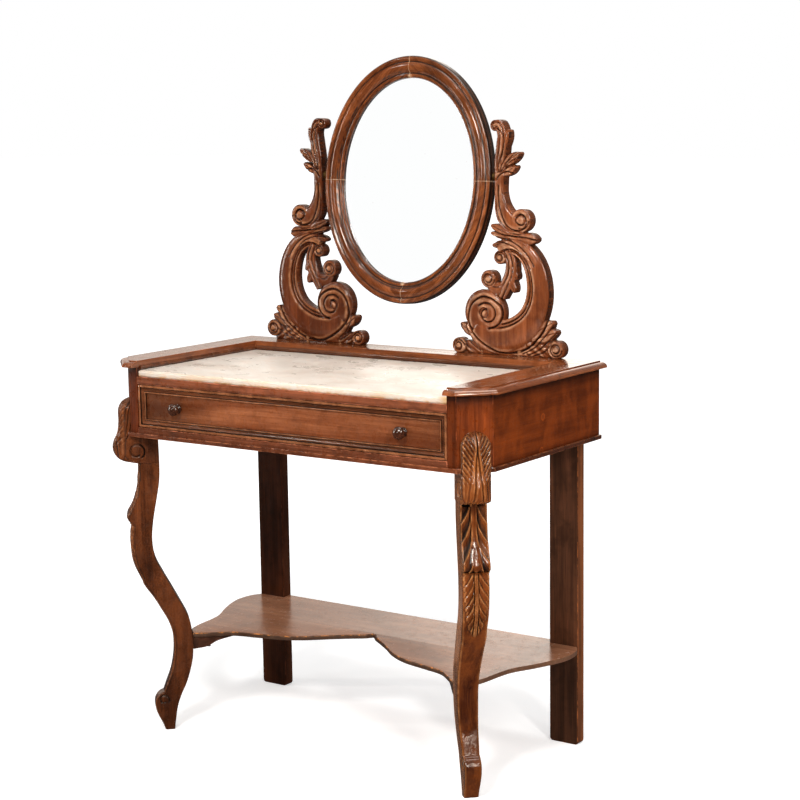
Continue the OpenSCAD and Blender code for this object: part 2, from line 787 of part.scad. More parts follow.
// Sprigs driven into the rebate's wall behind the backboard
sprig_t = [20, 70];
sprig_r = 0.8;
sprig_in = 9;
sprig_l = 16;
module sprigs(t0, g) {
    for (t = sprig_t) {
        q = oval(t0 + t, oval_band - rebate_w);
        d = oval(t0 + t, 0) - q;
        translate([q[0], std_rear - sprig_r - 2 * plate_gap, oval_mid + q[1]])
            rotate([0, 90 - atan2(d[1], d[0]), 0]) translate([0, 0, -sprig_in - g])
                cylinder(r = sprig_r + g, h = sprig_l + 2 * g, $fn = 16);
    }
}

// t0 is the quarter's first angle: 0 and 90 over the middle, 180 and 270 under it
module frame_segment(t0) {
    color(mahogany) leaning() difference() {
        frame_quarter(t0);
        sprigs(t0, fit);
        if (t0 < 180) pair(t0 == 0 ? 1 : -1) pivot_axis()
            translate([0, 0, bush_x - bush_l - fit]) cylinder(r = bush_r + fit, h = bush_l + 2 * eps);
    }
}

module oval_plate(t, rear) {
    outline = [for (k = [0:95]) oval(k * 3.75, oval_band - rebate_w + slide_gap)];
    translate([0, std_rear - rear, oval_mid]) rotate([90, 0, 0]) linear_extrude(t) polygon(outline);
}

module mirror_backboard() {
    color(deal) leaning() oval_plate(backboard_t, rebate_d - glass_t - backboard_t - plate_gap);
}

module mirror_glass() {
    color(silver) leaning() oval_plate(glass_t, rebate_d - glass_t - plate_gap);
}

module mirror_sprigs() {
    color(iron) leaning() for (t0 = [0, 90, 180, 270]) sprigs(t0, 0);
}

module pivot_bush(side) {
    color(brass) pair(side) pivot_axis() translate([0, 0, bush_x - bush_l]) difference() {
        cylinder(r = bush_r, h = bush_l);
        translate([0, 0, -eps]) cylinder(r = pivot_r + pivot_play, h = bush_l + 2 * eps);
    }
}

module pivot_pin(side) {
    color(brass) pair(side) pivot_axis() {
        translate([0, 0, bush_x - bush_l + eps])
            cylinder(r = pivot_r, h = stem_x + pin_hold - bush_x + bush_l - eps);
        translate([0, 0, oval_w / 2 + slide_gap]) cylinder(r = collar_r, h = swing_gap - slide_gap);
    }
}

// ---- drawer -----------------------------------------------------------------

board_y = drawer_front_y + frame_t;
drawer_half = opening_w - drawer_gap;
drawer_z = opening_z + slide_gap;
front_z = opening_z + drawer_gap;
front_h = opening_h - 2 * drawer_gap;
side_y = board_y + front_t;
drawer_end = leg_front - drawer_clear;
knob_z = front_z + front_h / 2;
knob_x = drawer_half - knob_in;

module drawer_front() {
    color(mahogany) difference() {
        box([-drawer_half, board_y, front_z], [drawer_half, side_y, front_z + front_h]);
        box([-drawer_half + drawer_side_t, side_y - groove_d, drawer_z + groove_z],
            [drawer_half - drawer_side_t, side_y + eps, drawer_z + groove_z + drawer_bottom_t]);
        for (x = [-knob_x, knob_x]) translate([x, board_y, knob_z]) rotate([90, 0, 0])
            translate([0, 0, -front_t - eps]) cylinder(r = tenon_r + fit, h = front_t + 2 * eps);
    }
}

// Ring w wide and t thick on the drawer front, s in from its edge
module front_ring(s, w, t) {
    a = [-drawer_half + s, board_y - t, front_z + s];
    b = [drawer_half - s, board_y, front_z + front_h - s];
    difference() {
        box(a, b);
        box(a + [w, -eps, w], b + [-w, eps, -w]);
    }
}

module drawer_front_moulding() {
    color(mahogany) union() {
        front_ring(0, frame_w, frame_t * 0.35);
        front_ring(0, frame_w * 0.75, frame_t * 0.5);
        front_ring(0, frame_w * 0.3, frame_t);
        front_ring(frame_w * 0.82, frame_w * 0.18, frame_t * 0.6);
    }
}

module drawer_side(side) {
    color(deal) pair(side) difference() {
        box([drawer_half - drawer_side_t, side_y, drawer_z],
            [drawer_half, drawer_end, drawer_z + drawer_side_h]);
        box([drawer_half - drawer_side_t - eps, side_y - eps, drawer_z + groove_z],
            [drawer_half - drawer_side_t + groove_d, drawer_end + eps,
             drawer_z + groove_z + drawer_bottom_t]);
    }
}

module drawer_back() {
    color(deal) box(
        [-drawer_half + drawer_side_t, drawer_end - drawer_side_t, drawer_z + groove_z + drawer_bottom_t],
        [drawer_half - drawer_side_t, drawer_end, drawer_z + drawer_side_h]);
}

module drawer_bottom() {
    reach = drawer_half - drawer_side_t + groove_d - fit;
    tongue = drawer_half - drawer_side_t - fit;
    color(deal) translate([0, 0, drawer_z + groove_z + fit]) union() {
        box([-reach, side_y, 0], [reach, drawer_end, drawer_bottom_t - 2 * fit]);
        box([-tongue, side_y - groove_d + fit, 0], [tongue, side_y + eps, drawer_bottom_t - 2 * fit]);
    }
}

// Turned knob: a small foot, a waist and a domed head
knob_foot = 2;
waist_r = 0.45 * knob_r;
head_z = 0.66 * knob_l;
head_h = knob_l - head_z;
knob_turned = concat(
    [[0, 0], [0.75 * knob_r, 0], [0.75 * knob_r, knob_foot], [waist_r, 2 * knob_foot],
     [waist_r, head_z - head_h]],
    [for (t = [-60:15:75]) [knob_r * cos(t), head_z + head_h * sin(t)]],
    [[0, knob_l]]);
module knob(side) {
    color(dark_mahogany) translate([side * knob_x, board_y, knob_z]) rotate([90, 0, 0]) union() {
        rotate_extrude() polygon(knob_turned);
        translate([0, 0, -front_t]) cylinder(r = tenon_r, h = front_t + knob_foot);
    }
}

// ---- the parts --------------------------------------------------------------

side_panel(-1);  // side_panel_left
side_panel(1);  // side_panel_right
corner_post(-1);  // corner_post_left
corner_post(1);  // corner_post_right
back_panel();
upper_rail();
lower_rail();
foot_moulding_front();
foot_moulding_side(-1);  // foot_moulding_left
foot_moulding_side(1);  // foot_moulding_right
drawer_runner(-1);  // drawer_runner_left
drawer_runner(1);  // drawer_runner_right
drawer_guide(-1);  // drawer_guide_left
drawer_guide(1);  // drawer_guide_right
drawer_kicker(-1);  // drawer_kicker_left
drawer_kicker(1);  // drawer_kicker_right
marble_bearer();
back_corner_block(-1);  // back_corner_block_left
back_corner_block(1);  // back_corner_block_right
drawer_stops();
top_rail(-1);  // top_rail_left
top_rail(1);  // top_rail_right
top_rail_back();
marble_slab();
front_leg(-1);  // front_leg_left
front_leg(1);  // front_leg_right
leg_screws();
back_leg(-1);  // back_leg_left
back_leg(1);  // back_leg_right
shelf();
shelf_block(-1);  // shelf_block_left
shelf_block(1);  // shelf_block_right
shelf_screws();
standard(-1);  // standard_left
standard(1);  // standard_right
standard_dowels();
pivot_pin(-1);  // pivot_pin_left
pivot_pin(1);  // pivot_pin_right
frame_segment(90);  // frame_segment_top_left
frame_segment(0);  // frame_segment_top_right
frame_segment(180);  // frame_segment_bottom_left
frame_segment(270);  // frame_segment_bottom_right
mirror_glass();
mirror_backboard();
mirror_sprigs();
pivot_bush(-1);  // pivot_bush_left
pivot_bush(1);  // pivot_bush_right
drawer_front();
drawer_front_moulding();
drawer_side(-1);  // drawer_side_left
drawer_side(1);  // drawer_side_right
drawer_back();
drawer_bottom();
knob(-1);  // knob_left
knob(1);  // knob_right
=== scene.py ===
"""Washstand with a marble top and a swing mirror, dressed for the camera.

Lengths are metres in Blender and millimetres in the carver's drawings below.
"""
import math

import bmesh
import bpy
import numpy as np
from mathutils import Matrix, Vector
from mathutils.geometry import tessellate_polygon


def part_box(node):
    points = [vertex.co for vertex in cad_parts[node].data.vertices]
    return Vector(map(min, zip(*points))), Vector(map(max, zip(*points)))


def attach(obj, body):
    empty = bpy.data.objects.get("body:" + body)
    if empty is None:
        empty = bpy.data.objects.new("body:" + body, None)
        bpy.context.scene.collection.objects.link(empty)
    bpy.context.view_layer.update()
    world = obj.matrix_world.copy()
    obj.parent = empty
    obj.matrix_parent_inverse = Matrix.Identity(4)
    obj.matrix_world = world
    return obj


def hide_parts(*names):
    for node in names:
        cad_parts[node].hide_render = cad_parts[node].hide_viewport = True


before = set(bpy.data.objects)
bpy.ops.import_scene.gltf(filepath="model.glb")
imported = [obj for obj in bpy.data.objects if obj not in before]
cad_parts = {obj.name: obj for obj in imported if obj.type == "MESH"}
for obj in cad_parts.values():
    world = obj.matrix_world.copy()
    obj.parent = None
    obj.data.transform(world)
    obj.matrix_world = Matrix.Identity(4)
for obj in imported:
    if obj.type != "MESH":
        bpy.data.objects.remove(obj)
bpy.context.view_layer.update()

MM = 0.001

# ---- sizes of the made piece, in millimetres ---------------------------------

HALF_WIDTH = 440.0
FRONT = -224.716
BACK = 221.284
CANT = 48.0
SURROUND = 785.0
STEM = 214.0
STANDARD_REAR = 219.484
STANDARD_THICK = 24.0
PIVOT = Vector((0.0, 210.484, 1142.5))
LEAN = math.radians(5.0)
OVAL_MIDDLE = 1132.5
OVAL_HALF = (206.0, 254.0)
LEG_MIDDLE = (HALF_WIDTH - CANT / 2, FRONT + CANT / 2)
DIAGONAL = math.sqrt(0.5)
HAND = {-1: "left", 1: "right"}


# ---- node trees -------------------------------------------------------------

class Signal:
    """A node's output, which sums, products and smooth ramps can be built on."""

    def __init__(self, tree, socket):
        self.tree, self.socket = tree, socket

    def __add__(self, other):
        return self.tree.math("ADD", self, other)

    def __sub__(self, other):
        return self.tree.math("SUBTRACT", self, other)

    def __mul__(self, other):
        return self.tree.math("MULTIPLY", self, other)

    def __truediv__(self, other):
        return self.tree.math("DIVIDE", self, other)

    def __abs__(self):
        return self.tree.math("ABSOLUTE", self)

    def held(self):
        """The same sum, kept between 0 and 1."""
        self.socket.node.use_clamp = True
        return self

    def spread(self, low, high, to_low=0.0, to_high=1.0):
        ends = {"From Min": low, "From Max": high, "To Min": to_low, "To Max": to_high}
        return self.tree.add("ShaderNodeMapRange", {"Value": self, **ends}, interpolation_type="SMOOTHSTEP")


class Tree:
    """A node tree in the making: add() makes one node, sets it up and wires its inputs."""
    family = "ShaderNode"

    def __init__(self, tree):
        self.tree = tree

    def add(self, kind, wires=None, out=0, **settings):
        node = self.tree.nodes.new(kind if "Node" in kind else self.family + kind)
        for key, value in settings.items():
            setattr(node, key, value)
        for key, value in (wires or {}).items():
            self.wire(node.inputs[key], value)
        return Signal(self, node.outputs[out]) if len(node.outputs) else None

    def wire(self, socket, value):
        """Sets a socket to a value, or links one signal or a list of them to it."""
        for part in value if isinstance(value, list) else [value]:
            if isinstance(part, Signal):
                self.tree.links.new(part.socket, socket)
            else:
                socket.default_value = part

    def math(self, kind, a, b=None):
        return self.add("ShaderNodeMath", {0: a} if b is None else {0: a, 1: b}, operation=kind)

    def vector(self, x, y, z):
        return self.add("ShaderNodeCombineXYZ", {0: x, 1: y, 2: z})

    def axis(self, name, space="Object"):
        return self.add("SeparateXYZ", {0: self.add("TexCoord", out=space)}, out=name)

    def far(self, point):
        """Distance from a point in the piece's own coordinates."""
        where = self.add("TexCoord", out="Object")
        return self.add("VectorMath", {0: where, 1: point}, out="Value", operation="DISTANCE")

    def ray(self, kind):
        return self.add("LightPath", out="Is {} Ray".format(kind))


def emptied(owner):
    owner.use_nodes = True
    owner.node_tree.nodes.clear()
    return Tree(owner.node_tree)


# ---- finishes ---------------------------------------------------------------

ORIGIN = (0.0, 0.0, 0.0)
WHITE = (1.0, 1.0, 1.0, 1.0)
finishes = {}


def tone(red, green, blue):
    """A colour read off as 0 to 255, made linear."""
    shares = [v / 255.0 for v in (red, green, blue)]
    return tuple(v / 12.92 if v <= 0.04045 else ((v + 0.055) / 1.055) ** 2.4 for v in shares) + (1.0,)


def times(colour, share, more=0.0):
    """A darker or a lighter shade of a colour."""
    return tuple(min(1.0, share * v + more) for v in colour[:3]) + (1.0,)


def grained(along, fine, coarse):
    """Densities of a pattern that runs with the grain along one axis."""
    return tuple(coarse if axis == along else fine for axis in "XYZ")


class Finish(Tree):
    """A material in the making: a ground colour, others laid over it, and bumps."""

    def __init__(self, name, ground):
        finishes[name] = bpy.data.materials.new(name)
        finishes[name].use_nodes = True
        super().__init__(finishes[name].node_tree)
        self.colour, self.normal = ground, None

    def noise(self, stretch, detail=4.0, rough=0.55, bent=0.0, turn=ORIGIN, shift=ORIGIN):
        """Noise over the piece's coordinates, turned and then stretched to densities per metre."""
        turned = self.add("Mapping", {"Vector": self.add("TexCoord", out="Object"), "Location": shift,
                                      "Rotation": turn})
        placed = self.add("Mapping", {
            "Vector": turned, "Scale": stretch if isinstance(stretch, tuple) else (stretch,) * 3})
        return self.add("TexNoise", {"Vector": placed, "Scale": 1.0, "Detail": detail, "Roughness": rough,
                                     "Distortion": bent})

    def mark(self, name):
        return self.add("Attribute", out="Fac", attribute_name=name)

    def cover(self, share, colour):
        self.colour = self.add("Mix", {0: share, 6: self.colour, 7: colour}, out=2, data_type="RGBA")

    def bump(self, height, strength, depth):
        under = {"Normal": self.normal} if self.normal else {}
        self.normal = self.add("Bump", {"Height": height, "Strength": strength, "Distance": depth, **under})

    def done(self, **values):
        if self.normal:
            values["Normal"] = self.normal
        shader = self.tree.nodes["Principled BSDF"]
        for key, value in dict(values, Base_Color=self.colour).items():
            self.wire(shader.inputs[key.replace("_", " ")], value)


def mahogany(name, light, dark, along="X", turn=ORIGIN, shift=ORIGIN, gloss=0.28, coat=0.55, stripe=0.5,
             worn_and_lit=None, hollow_shade=0.75, faded=0.0, shine=0.32, patchy=0.0, tooled=0.0, aged=0.5, relief=1.0,
             shade_bands=(), plugs=()):
    """Old varnished mahogany: ribbon figure, open pores, rubbed arrises; painted shade and painted
    highlights.

    Each of shade_bands is a band of painted shade: the axis, where it is darkest, where it ends, how dark.
    Each of plugs is the middle of a round plug let into the wood.
    """
    light, dark = tone(*light), tone(*dark)
    wood = Finish(name, dark)

    def grain(fine, coarse, *kind):
        return wood.noise(grained(along, fine, coarse), *kind, turn=turn, shift=shift)

    figure = grain(34.0, 2.6, 5.0, 0.62, 0.9)
    ribbon = grain(95.0, 3.5, 3.0, 0.5, 0.3)
    streak = grain(420.0, 9.0, 4.0, 0.6)
    pores = grain(1500.0, 70.0, 2.0, 0.5)
    patch = grain(7.0, 4.0, 3.0, 0.5)
    patina = wood.noise(24.0, 5.0, 0.62, 0.4, turn, shift)
    rubbed = wood.noise(60.0, 5.0, 0.65)
    hollow = wood.mark("hollow")

    body = figure * 0.55 + ribbon * (0.45 * stripe) + streak * 0.35
    wood.cover(body.spread(0.38 + 0.1 * stripe, 0.72 + 0.14 * stripe), light)
    wood.cover(patch.spread(0.35, 0.7, 0.0, 0.30), times(dark, 0.45))
    wood.cover(pores.spread(0.60, 0.72, 0.0, 0.40), times(dark, 0.30))
    wood.cover(patina.spread(0.46, 0.72, 0.0, aged), times(dark, 0.32))
    # painted shade: the marked hollows are darkened, as much as hollow_shade asks
    wood.cover((hollow * hollow_shade).held(), times(dark, 0.10))
    if patchy:
        cross = wood.noise((14.0, 26.0, 11.0), 4.0, 0.6, 0.4)
        wood.cover(cross.spread(0.42, 0.62, 0.0, patchy), times(light, 1.35))
    # painted shade in bands along one axis, broken up by the patina noise
    for axis, darkest, ends, depth in shade_bands:
        way = math.copysign(1.0, ends - darkest)
        band = (wood.axis(axis) * way).spread(way * darkest, way * ends, depth, 0.0)
        wood.cover(band * patina.spread(0.3, 0.6, 1.0, 0.75), times(dark, 0.14))
    for middle in plugs:
        away = wood.far(middle) + rubbed * 0.0016
        wood.cover(away.spread(0.0056, 0.0066, 0.45, 0.0), light)
        wood.cover(abs(away - 0.0068).spread(0.0003, 0.0014, 0.7, 0.0), times(light, 1.9))
    # one lighter colour for wear and painted light: pale marks get painted side light, crest marks get rubbed
    # ridges with painted highlights, arris marks get rubbed arrises
    worn_and_lit_colour = tone(*worn_and_lit) if worn_and_lit else times(light, 1.7, 0.02)
    wood.cover(wood.mark("pale") * figure.spread(0.4, 0.62, 0.3, 0.7), worn_and_lit_colour)
    crest = wood.mark("crest") * rubbed.spread(0.35, 0.65, 0.25, 0.85)
    arris = wood.mark("arris") * rubbed.spread(0.42, 0.66)
    wood.cover(wood.math("MAXIMUM", crest, arris).held(), worn_and_lit_colour)
    if faded:
        wood.cover(rubbed.spread(0.3, 0.8, 0.0, faded), tone(150, 122, 104))

    wood.bump(streak * 0.5 - pores.spread(0.58, 0.74, 0.0, 0.5), 0.35 * relief, 0.0006)
    wood.bump(grain(26.0, 8.0, 2.0, 0.5), 0.30 * relief, 0.0022)
    if tooled:
        wood.bump(wood.noise((120.0, 120.0, 85.0), 2.0, 0.45, 0.3), tooled, 0.0030)
    rough = rubbed.spread(0.3, 0.75, gloss - 0.07, gloss + 0.12) + hollow * 0.25
    wood.done(Roughness=rough.held(), Coat_Weight=coat, Coat_Roughness=0.10, Coat_IOR=1.4, IOR=1.45,
              Specular_IOR_Level=shine, Specular_Tint=(1.0, 0.88, 0.76, 1.0))


def raw_deal(name, along):
    """Unpolished softwood of the hidden pieces, with knots' shadows and saw marks."""
    deal = Finish(name, tone(136, 88, 50))
    rings = deal.noise(grained(along, 42.0, 1.6), 4.0, 0.6, 1.2)
    fibre = deal.noise(grained(along, 700.0, 14.0), 3.0, 0.6)
    stain = deal.noise(9.0, 4.0, 0.6)
    saw = deal.noise(grained(along, 90.0, 260.0), 2.0, 0.5)
    deal.cover(rings.spread(0.40, 0.62), tone(182, 132, 84))
    deal.cover(fibre.spread(0.45, 0.7, 0.0, 0.45), tone(112, 72, 40))
    deal.cover(stain.spread(0.45, 0.75, 0.0, 0.55), tone(96, 62, 38))
    deal.cover(deal.mark("arris") * 0.35, tone(120, 84, 50))
    deal.bump(fibre + saw * 0.6, 0.4, 0.0008)
    deal.done(Roughness=stain.spread(0.3, 0.8, 0.62, 0.82))


def cream_marble():
    """Cream marble with clouded veins, stained at its lip and one corner, and darker ochre along the bottom
    of its edge.
    """
    stone = Finish("cream_marble", tone(221, 212, 201))
    low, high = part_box("marble_slab")
    slant = (0.0, 0.0, 0.5)
    drift = stone.noise((7.0, 9.0, 7.0), 6.0, 0.6, 0.6)
    veins = stone.noise((5.0, 11.0, 8.0), 8.0, 0.62, 1.4, slant)
    cloud = stone.noise((16.0, 22.0, 16.0), 5.0, 0.6, 0.5, slant)
    grain = stone.noise(500.0, 3.0, 0.6)
    spots = stone.noise(30.0, 4.0, 0.6, shift=(0.3, 0.1, 0.0))
    blotch = stone.noise((34.0, 60.0, 90.0), 5.0, 0.65, 0.4)
    lip = stone.axis("Y").spread(low.y + 0.0005, low.y + 0.006, 0.28, 0.0)
    under = stone.axis("Z").spread(low.z, low.z + 0.005, 0.75, 0.0)
    corner = stone.far((high.x, low.y, high.z)) + blotch * 0.02
    stone.cover(drift.spread(0.35, 0.7), tone(202, 190, 177))
    stone.cover(abs(veins - 0.5).spread(0.0, 0.05, 0.20, 0.0), tone(200, 170, 150))
    stone.cover(cloud.spread(0.54, 0.76, 0.0, 0.45), tone(216, 188, 168))
    stone.cover(spots.spread(0.66, 0.84, 0.0, 0.25), tone(196, 150, 116))
    stone.cover(grain.spread(0.4, 0.7, 0.0, 0.08), tone(200, 190, 178))
    stone.cover(lip * blotch.spread(0.36, 0.62), tone(214, 164, 96))
    # darker ochre over the lowest 5 mm of the slab
    stone.cover(under * blotch.spread(0.42, 0.60), tone(190, 134, 66))
    stone.cover(corner.spread(0.014, 0.036, 0.8, 0.0), tone(208, 160, 88))
    stone.cover(stone.mark("arris") * drift.spread(0.3, 0.6, 0.6, 1.0), tone(196, 150, 92))
    stone.bump(grain + cloud, 0.10, 0.0006)
    stone.done(Roughness=cloud.spread(0.3, 0.7, 0.24, 0.42), Coat_Weight=0.05, Coat_Roughness=0.2, IOR=1.5,
               Specular_IOR_Level=0.3)


def silvered_glass():
    """Silvered mirror glass, a little foxed."""
    glass = Finish("silvered_glass", tone(253, 254, 254))
    glass.cover(glass.noise(90.0, 5.0, 0.7).spread(0.66, 0.78, 0.0, 0.35), tone(206, 200, 188))
    glass.done(Metallic=1.0, Roughness=0.0)


def old_metal(name, light, dark, rough):
    """Metal dulled by age, pitted and darker in its hollows."""
    metal = Finish(name, tone(*light))
    rust = metal.noise(260.0, 5.0, 0.65)
    metal.cover(rust.spread(0.38, 0.66), tone(*dark))
    metal.bump(rust + metal.noise(2200.0, 3.0, 0.6) * 0.4, 0.25, 0.0003)
    metal.done(Metallic=1.0, Roughness=rust.spread(0.3, 0.7, rough, rough + 0.3))


# painted shade: bands under the surround's overhang and just above the foot moulding
UNDER_SURROUND, OVER_FOOT = ("Z", 0.772, 0.735, 0.95), ("Z", 0.634, 0.650, 0.5)
# painted shade: the drawer front darkens towards both ends
mahogany("drawer_mahogany", (170, 102, 64), (108, 52, 24), coat=0.1, shine=0.3, aged=0.35,
         shade_bands=(("X", -0.36, -0.10, 0.86), ("X", 0.37, 0.24, 0.4)))
mahogany("moulding_mahogany", (128, 72, 42), (66, 32, 15), gloss=0.18, coat=0.3, shine=0.35, hollow_shade=1.1,
         worn_and_lit=(188, 120, 78))
mahogany("side_mahogany", (132, 57, 14), (90, 35, 5), "Y", gloss=0.40, coat=0.06, stripe=0.7, patchy=0.34,
         aged=0.45, shine=0.16, shade_bands=(UNDER_SURROUND, OVER_FOOT),
         plugs=((0.440, 0.001, 0.7046), (0.440, -0.0048, 0.6418)))
# the left post is a darker copy of the right, painted shade; both get painted shade under the surround, over
# the foot and towards their inner edge
for hand, light, dark, stile in (("left", (140, 62, 24), (84, 32, 8), ("X", -0.388, -0.398, 0.5)),
                                 ("right", (152, 68, 24), (92, 36, 8), ("X", 0.388, 0.398, 0.6))):
    mahogany(hand + "_post_mahogany", light, dark, "Z", gloss=0.32, coat=0.25, shine=0.2, stripe=0.7,
             shade_bands=(UNDER_SURROUND, OVER_FOOT, stile))
# painted shade: the rails are darker below 0.74 m and towards the left end
mahogany("rail_mahogany", (166, 92, 60), (106, 54, 30), gloss=0.30, coat=0.35, aged=0.6,
         shade_bands=(("Z", 0.7400, 0.7425, 0.45), ("X", -0.40, -0.2, 0.35)))
mahogany("lip_mahogany", (134, 72, 43), (80, 38, 20), coat=0.4, worn_and_lit=(158, 92, 58))
mahogany("lip_side_mahogany", (112, 54, 24), (64, 27, 10), "Y", gloss=0.30, coat=0.3, worn_and_lit=(132, 74, 40))
mahogany("surround_side_mahogany", (166, 90, 46), (98, 44, 16), "Y", gloss=0.14, coat=0.06, faded=0.06,
         shine=0.95, relief=0.45)
mahogany("surround_back_mahogany", (160, 88, 46), (94, 43, 16), gloss=0.14, coat=0.08, faded=0.08,
         shine=0.9, relief=0.45)
# the left leg is a darker copy of the right, painted shade; both darken towards the floor, painted shade
mahogany("carved_right_leg_mahogany", (142, 72, 27), (70, 28, 8), "Z", gloss=0.15, coat=0.5, shine=0.4,
         hollow_shade=1.15, patchy=0.3, tooled=0.28, worn_and_lit=(196, 130, 76), shade_bands=(("Z", 0.18, 0.56, 0.45),))
mahogany("carved_left_leg_mahogany", (122, 64, 31), (62, 28, 11), "Z", gloss=0.26, coat=0.12, shine=0.3,
         hollow_shade=1.1, patchy=0.2, tooled=0.28, stripe=0.3, worn_and_lit=(150, 92, 56),
         shade_bands=(("Z", 0.10, 0.45, 0.3),))
# the left back leg is a much darker copy, painted shade; both get painted shade under the carcass, the right
# one painted shadow below the shelf
mahogany("back_leg_right_mahogany", (112, 68, 45), (62, 36, 22), "Z", gloss=0.36, coat=0.12, shine=0.2,
         worn_and_lit=(150, 84, 44), shade_bands=(("Z", 0.198, 0.212, 0.6), ("Z", 0.62, 0.54, 0.45)))
mahogany("back_leg_left_mahogany", (78, 38, 18), (40, 16, 6), "Z", gloss=0.38, coat=0.06, shine=0.12,
         worn_and_lit=(84, 44, 24), shade_bands=(("Z", 0.62, 0.50, 0.6),))
# the left standard is a darker copy of the right: painted shade
for hand, light, dark, worn_and_lit in (("right", (160, 88, 48), (102, 50, 25), (214, 160, 122)),
                                ("left", (126, 62, 30), (76, 33, 13), (186, 126, 84))):
    mahogany("carved_{}_standard_mahogany".format(hand), light, dark, "Z", gloss=0.15, coat=0.45, shine=0.35,
             hollow_shade=1.25, tooled=0.4, stripe=0.3, worn_and_lit=worn_and_lit)
mahogany("shelf_mahogany", (184, 132, 100), (140, 92, 66), gloss=0.20, coat=0.06, hollow_shade=0.95,
         worn_and_lit=(214, 128, 48), faded=0.12, stripe=0.3, aged=0.35, relief=0.4)
mahogany("wedge_mahogany", (92, 50, 30), (50, 24, 12), gloss=0.45, coat=0.2)
mahogany("turned_knob_mahogany", (90, 47, 29), (42, 19, 9), "Y", gloss=0.14, coat=1.0)
# the two left quarters are darker copies of the right ones: painted shade
for corner, slope in (("top_left", 0.82), ("top_right", -0.82),
                      ("bottom_left", -0.82), ("bottom_right", 0.82)):
    light, dark = ((146, 80, 43), (76, 35, 14)) if "left" in corner else ((156, 88, 48), (84, 40, 17))
    mahogany("frame_mahogany_" + corner, light, dark, turn=(0.0, slope, 0.0),
             shift=(0.31 * len(corner), 0.0, 0.0), gloss=0.13, coat=0.45, shine=0.28, hollow_shade=1.2,
             worn_and_lit=(212, 178, 142))
for name, along in (("deal_across", "X"), ("deal_front_to_back", "Y"), ("deal_upright", "Z")):
    raw_deal(name, along)
cream_marble()
silvered_glass()
old_metal("aged_iron", (116, 108, 100), (62, 44, 34), 0.42)
old_metal("aged_brass", (104, 78, 42), (58, 42, 24), 0.5)


# ---- making meshes ----------------------------------------------------------

def placed(name, data):
    """An object of the data, linked into the scene."""
    made = bpy.data.objects.new(name, data)
    bpy.context.scene.collection.objects.link(made)
    return made


def mark(mesh, name, values, domain="POINT"):
    """Keeps a number or a direction for every point or face of a mesh."""
    values = np.asarray(values, np.float32)
    kind, key = ("FLOAT_VECTOR", "vector") if values.ndim > 1 else ("FLOAT", "value")
    mesh.attributes.new(name, kind, domain).data.foreach_set(key, values.ravel())


def outwards(mesh, joined=0.0):
    """Turns every face outwards, once points closer than joined are made one."""
    work = bmesh.new()
    work.from_mesh(mesh)
    if joined:
        bmesh.ops.remove_doubles(work, verts=work.verts, dist=joined)
    bmesh.ops.recalc_face_normals(work, faces=work.faces)
    work.to_mesh(mesh)
    work.free()


def finished(name, mesh, finish, sharp):
    """An object of the mesh, in its finish, smooth except along sharp edges."""
    mesh.validate()
    mesh.polygons.foreach_set("use_smooth", [True] * len(mesh.polygons))
    mesh.set_sharp_from_angle(angle=math.radians(sharp))
    mesh.materials.clear()
    mesh.materials.append(finishes[finish])
    return placed(name, mesh)


def piece(name, points, faces, finish, sharp=40.0, joined=0.0, **marks):
    """A new mesh object from points in millimetres, with marks of its points or faces."""
    mesh = bpy.data.meshes.new(name)
    mesh.from_pydata([tuple(MM * v for v in p) for p in points], [], faces)
    for key, values in marks.items():
        mark(mesh, key, values, "POINT" if len(values) == len(points) else "FACE")
    made = finished(name, mesh, finish, sharp)
    outwards(mesh, joined)
    return made


def lofted(n, rows, first=0, caps=1):
    """Faces of a tube of rings of n points each, with caps wound one way or the other, or none."""
    faces = [[first + k * n + i, first + k * n + (i + 1) % n,
              first + (k + 1) * n + (i + 1) % n, first + (k + 1) * n + i]
             for k in range(rows - 1) for i in range(n)]
    if caps:
        last = first + (rows - 1) * n
        faces += [list(range(first, first + n))[::-caps], list(range(last, last + n))[::caps]]
    return faces


def stands_for(made, body, slot, *nodes):
    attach(made, body)
    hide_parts(*nodes)


def softened(node, finish, body, slot, width, name=None):
    """A board from its drawing, with eased and rubbed arrises; back legs get painted light on their side
    faces.
    """
    name = name or node + "_board"
    work = bmesh.new()
    work.from_mesh(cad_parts[node].data)
    bmesh.ops.remove_doubles(work, verts=work.verts, dist=2e-6)
    bmesh.ops.dissolve_limit(work, angle_limit=math.radians(0.6), verts=work.verts, edges=work.edges)
    pale, arris = (work.faces.layers.float.new(key) for key in ("pale", "arris"))
    hard = [e for e in work.edges
            if len(e.link_faces) == 2 and e.calc_face_angle(0.0) > math.radians(28.0)]
    cut = bmesh.ops.bevel(work, geom=hard, offset=width * MM, segments=2, profile=0.6,
                          affect="EDGES", clamp_overlap=True)
    for face in work.faces:
        # painted light: the back legs' side faces are marked pale
        face[pale] = float(finish.startswith("back_leg") and abs(face.normal.x) > 0.9)
    for face in cut["faces"]:
        face[arris] = 1.0
    mesh = bpy.data.meshes.new(name)
    work.to_mesh(mesh)
    work.free()
    stands_for(finished(name, mesh, finish, sharp=24.0), body, slot, node)


# ---- curves of the drawings -------------------------------------------------

def rise(value, start, end):
    """0 up to the start, 1 from the end on."""
    return np.clip((value - start) / (end - start), 0.0, 1.0)


def smooth(points, n=4):
    """Smooth curve through every point, n steps for each span."""
    p = [np.array(q, float) for q in points]
    out = []
    for i in range(len(p) - 1):
        a, b, c, d = p[max(i - 1, 0)], p[i], p[i + 1], p[min(i + 2, len(p) - 1)]
        for k in range(n):
            t = k / n
            out.append(0.5 * (2 * b + (c - a) * t + (2 * a - 5 * b + 4 * c - d) * t * t
                              + (3 * b - a - 3 * c + d) * t ** 3))
    out.append(p[-1])
    return np.array(out)


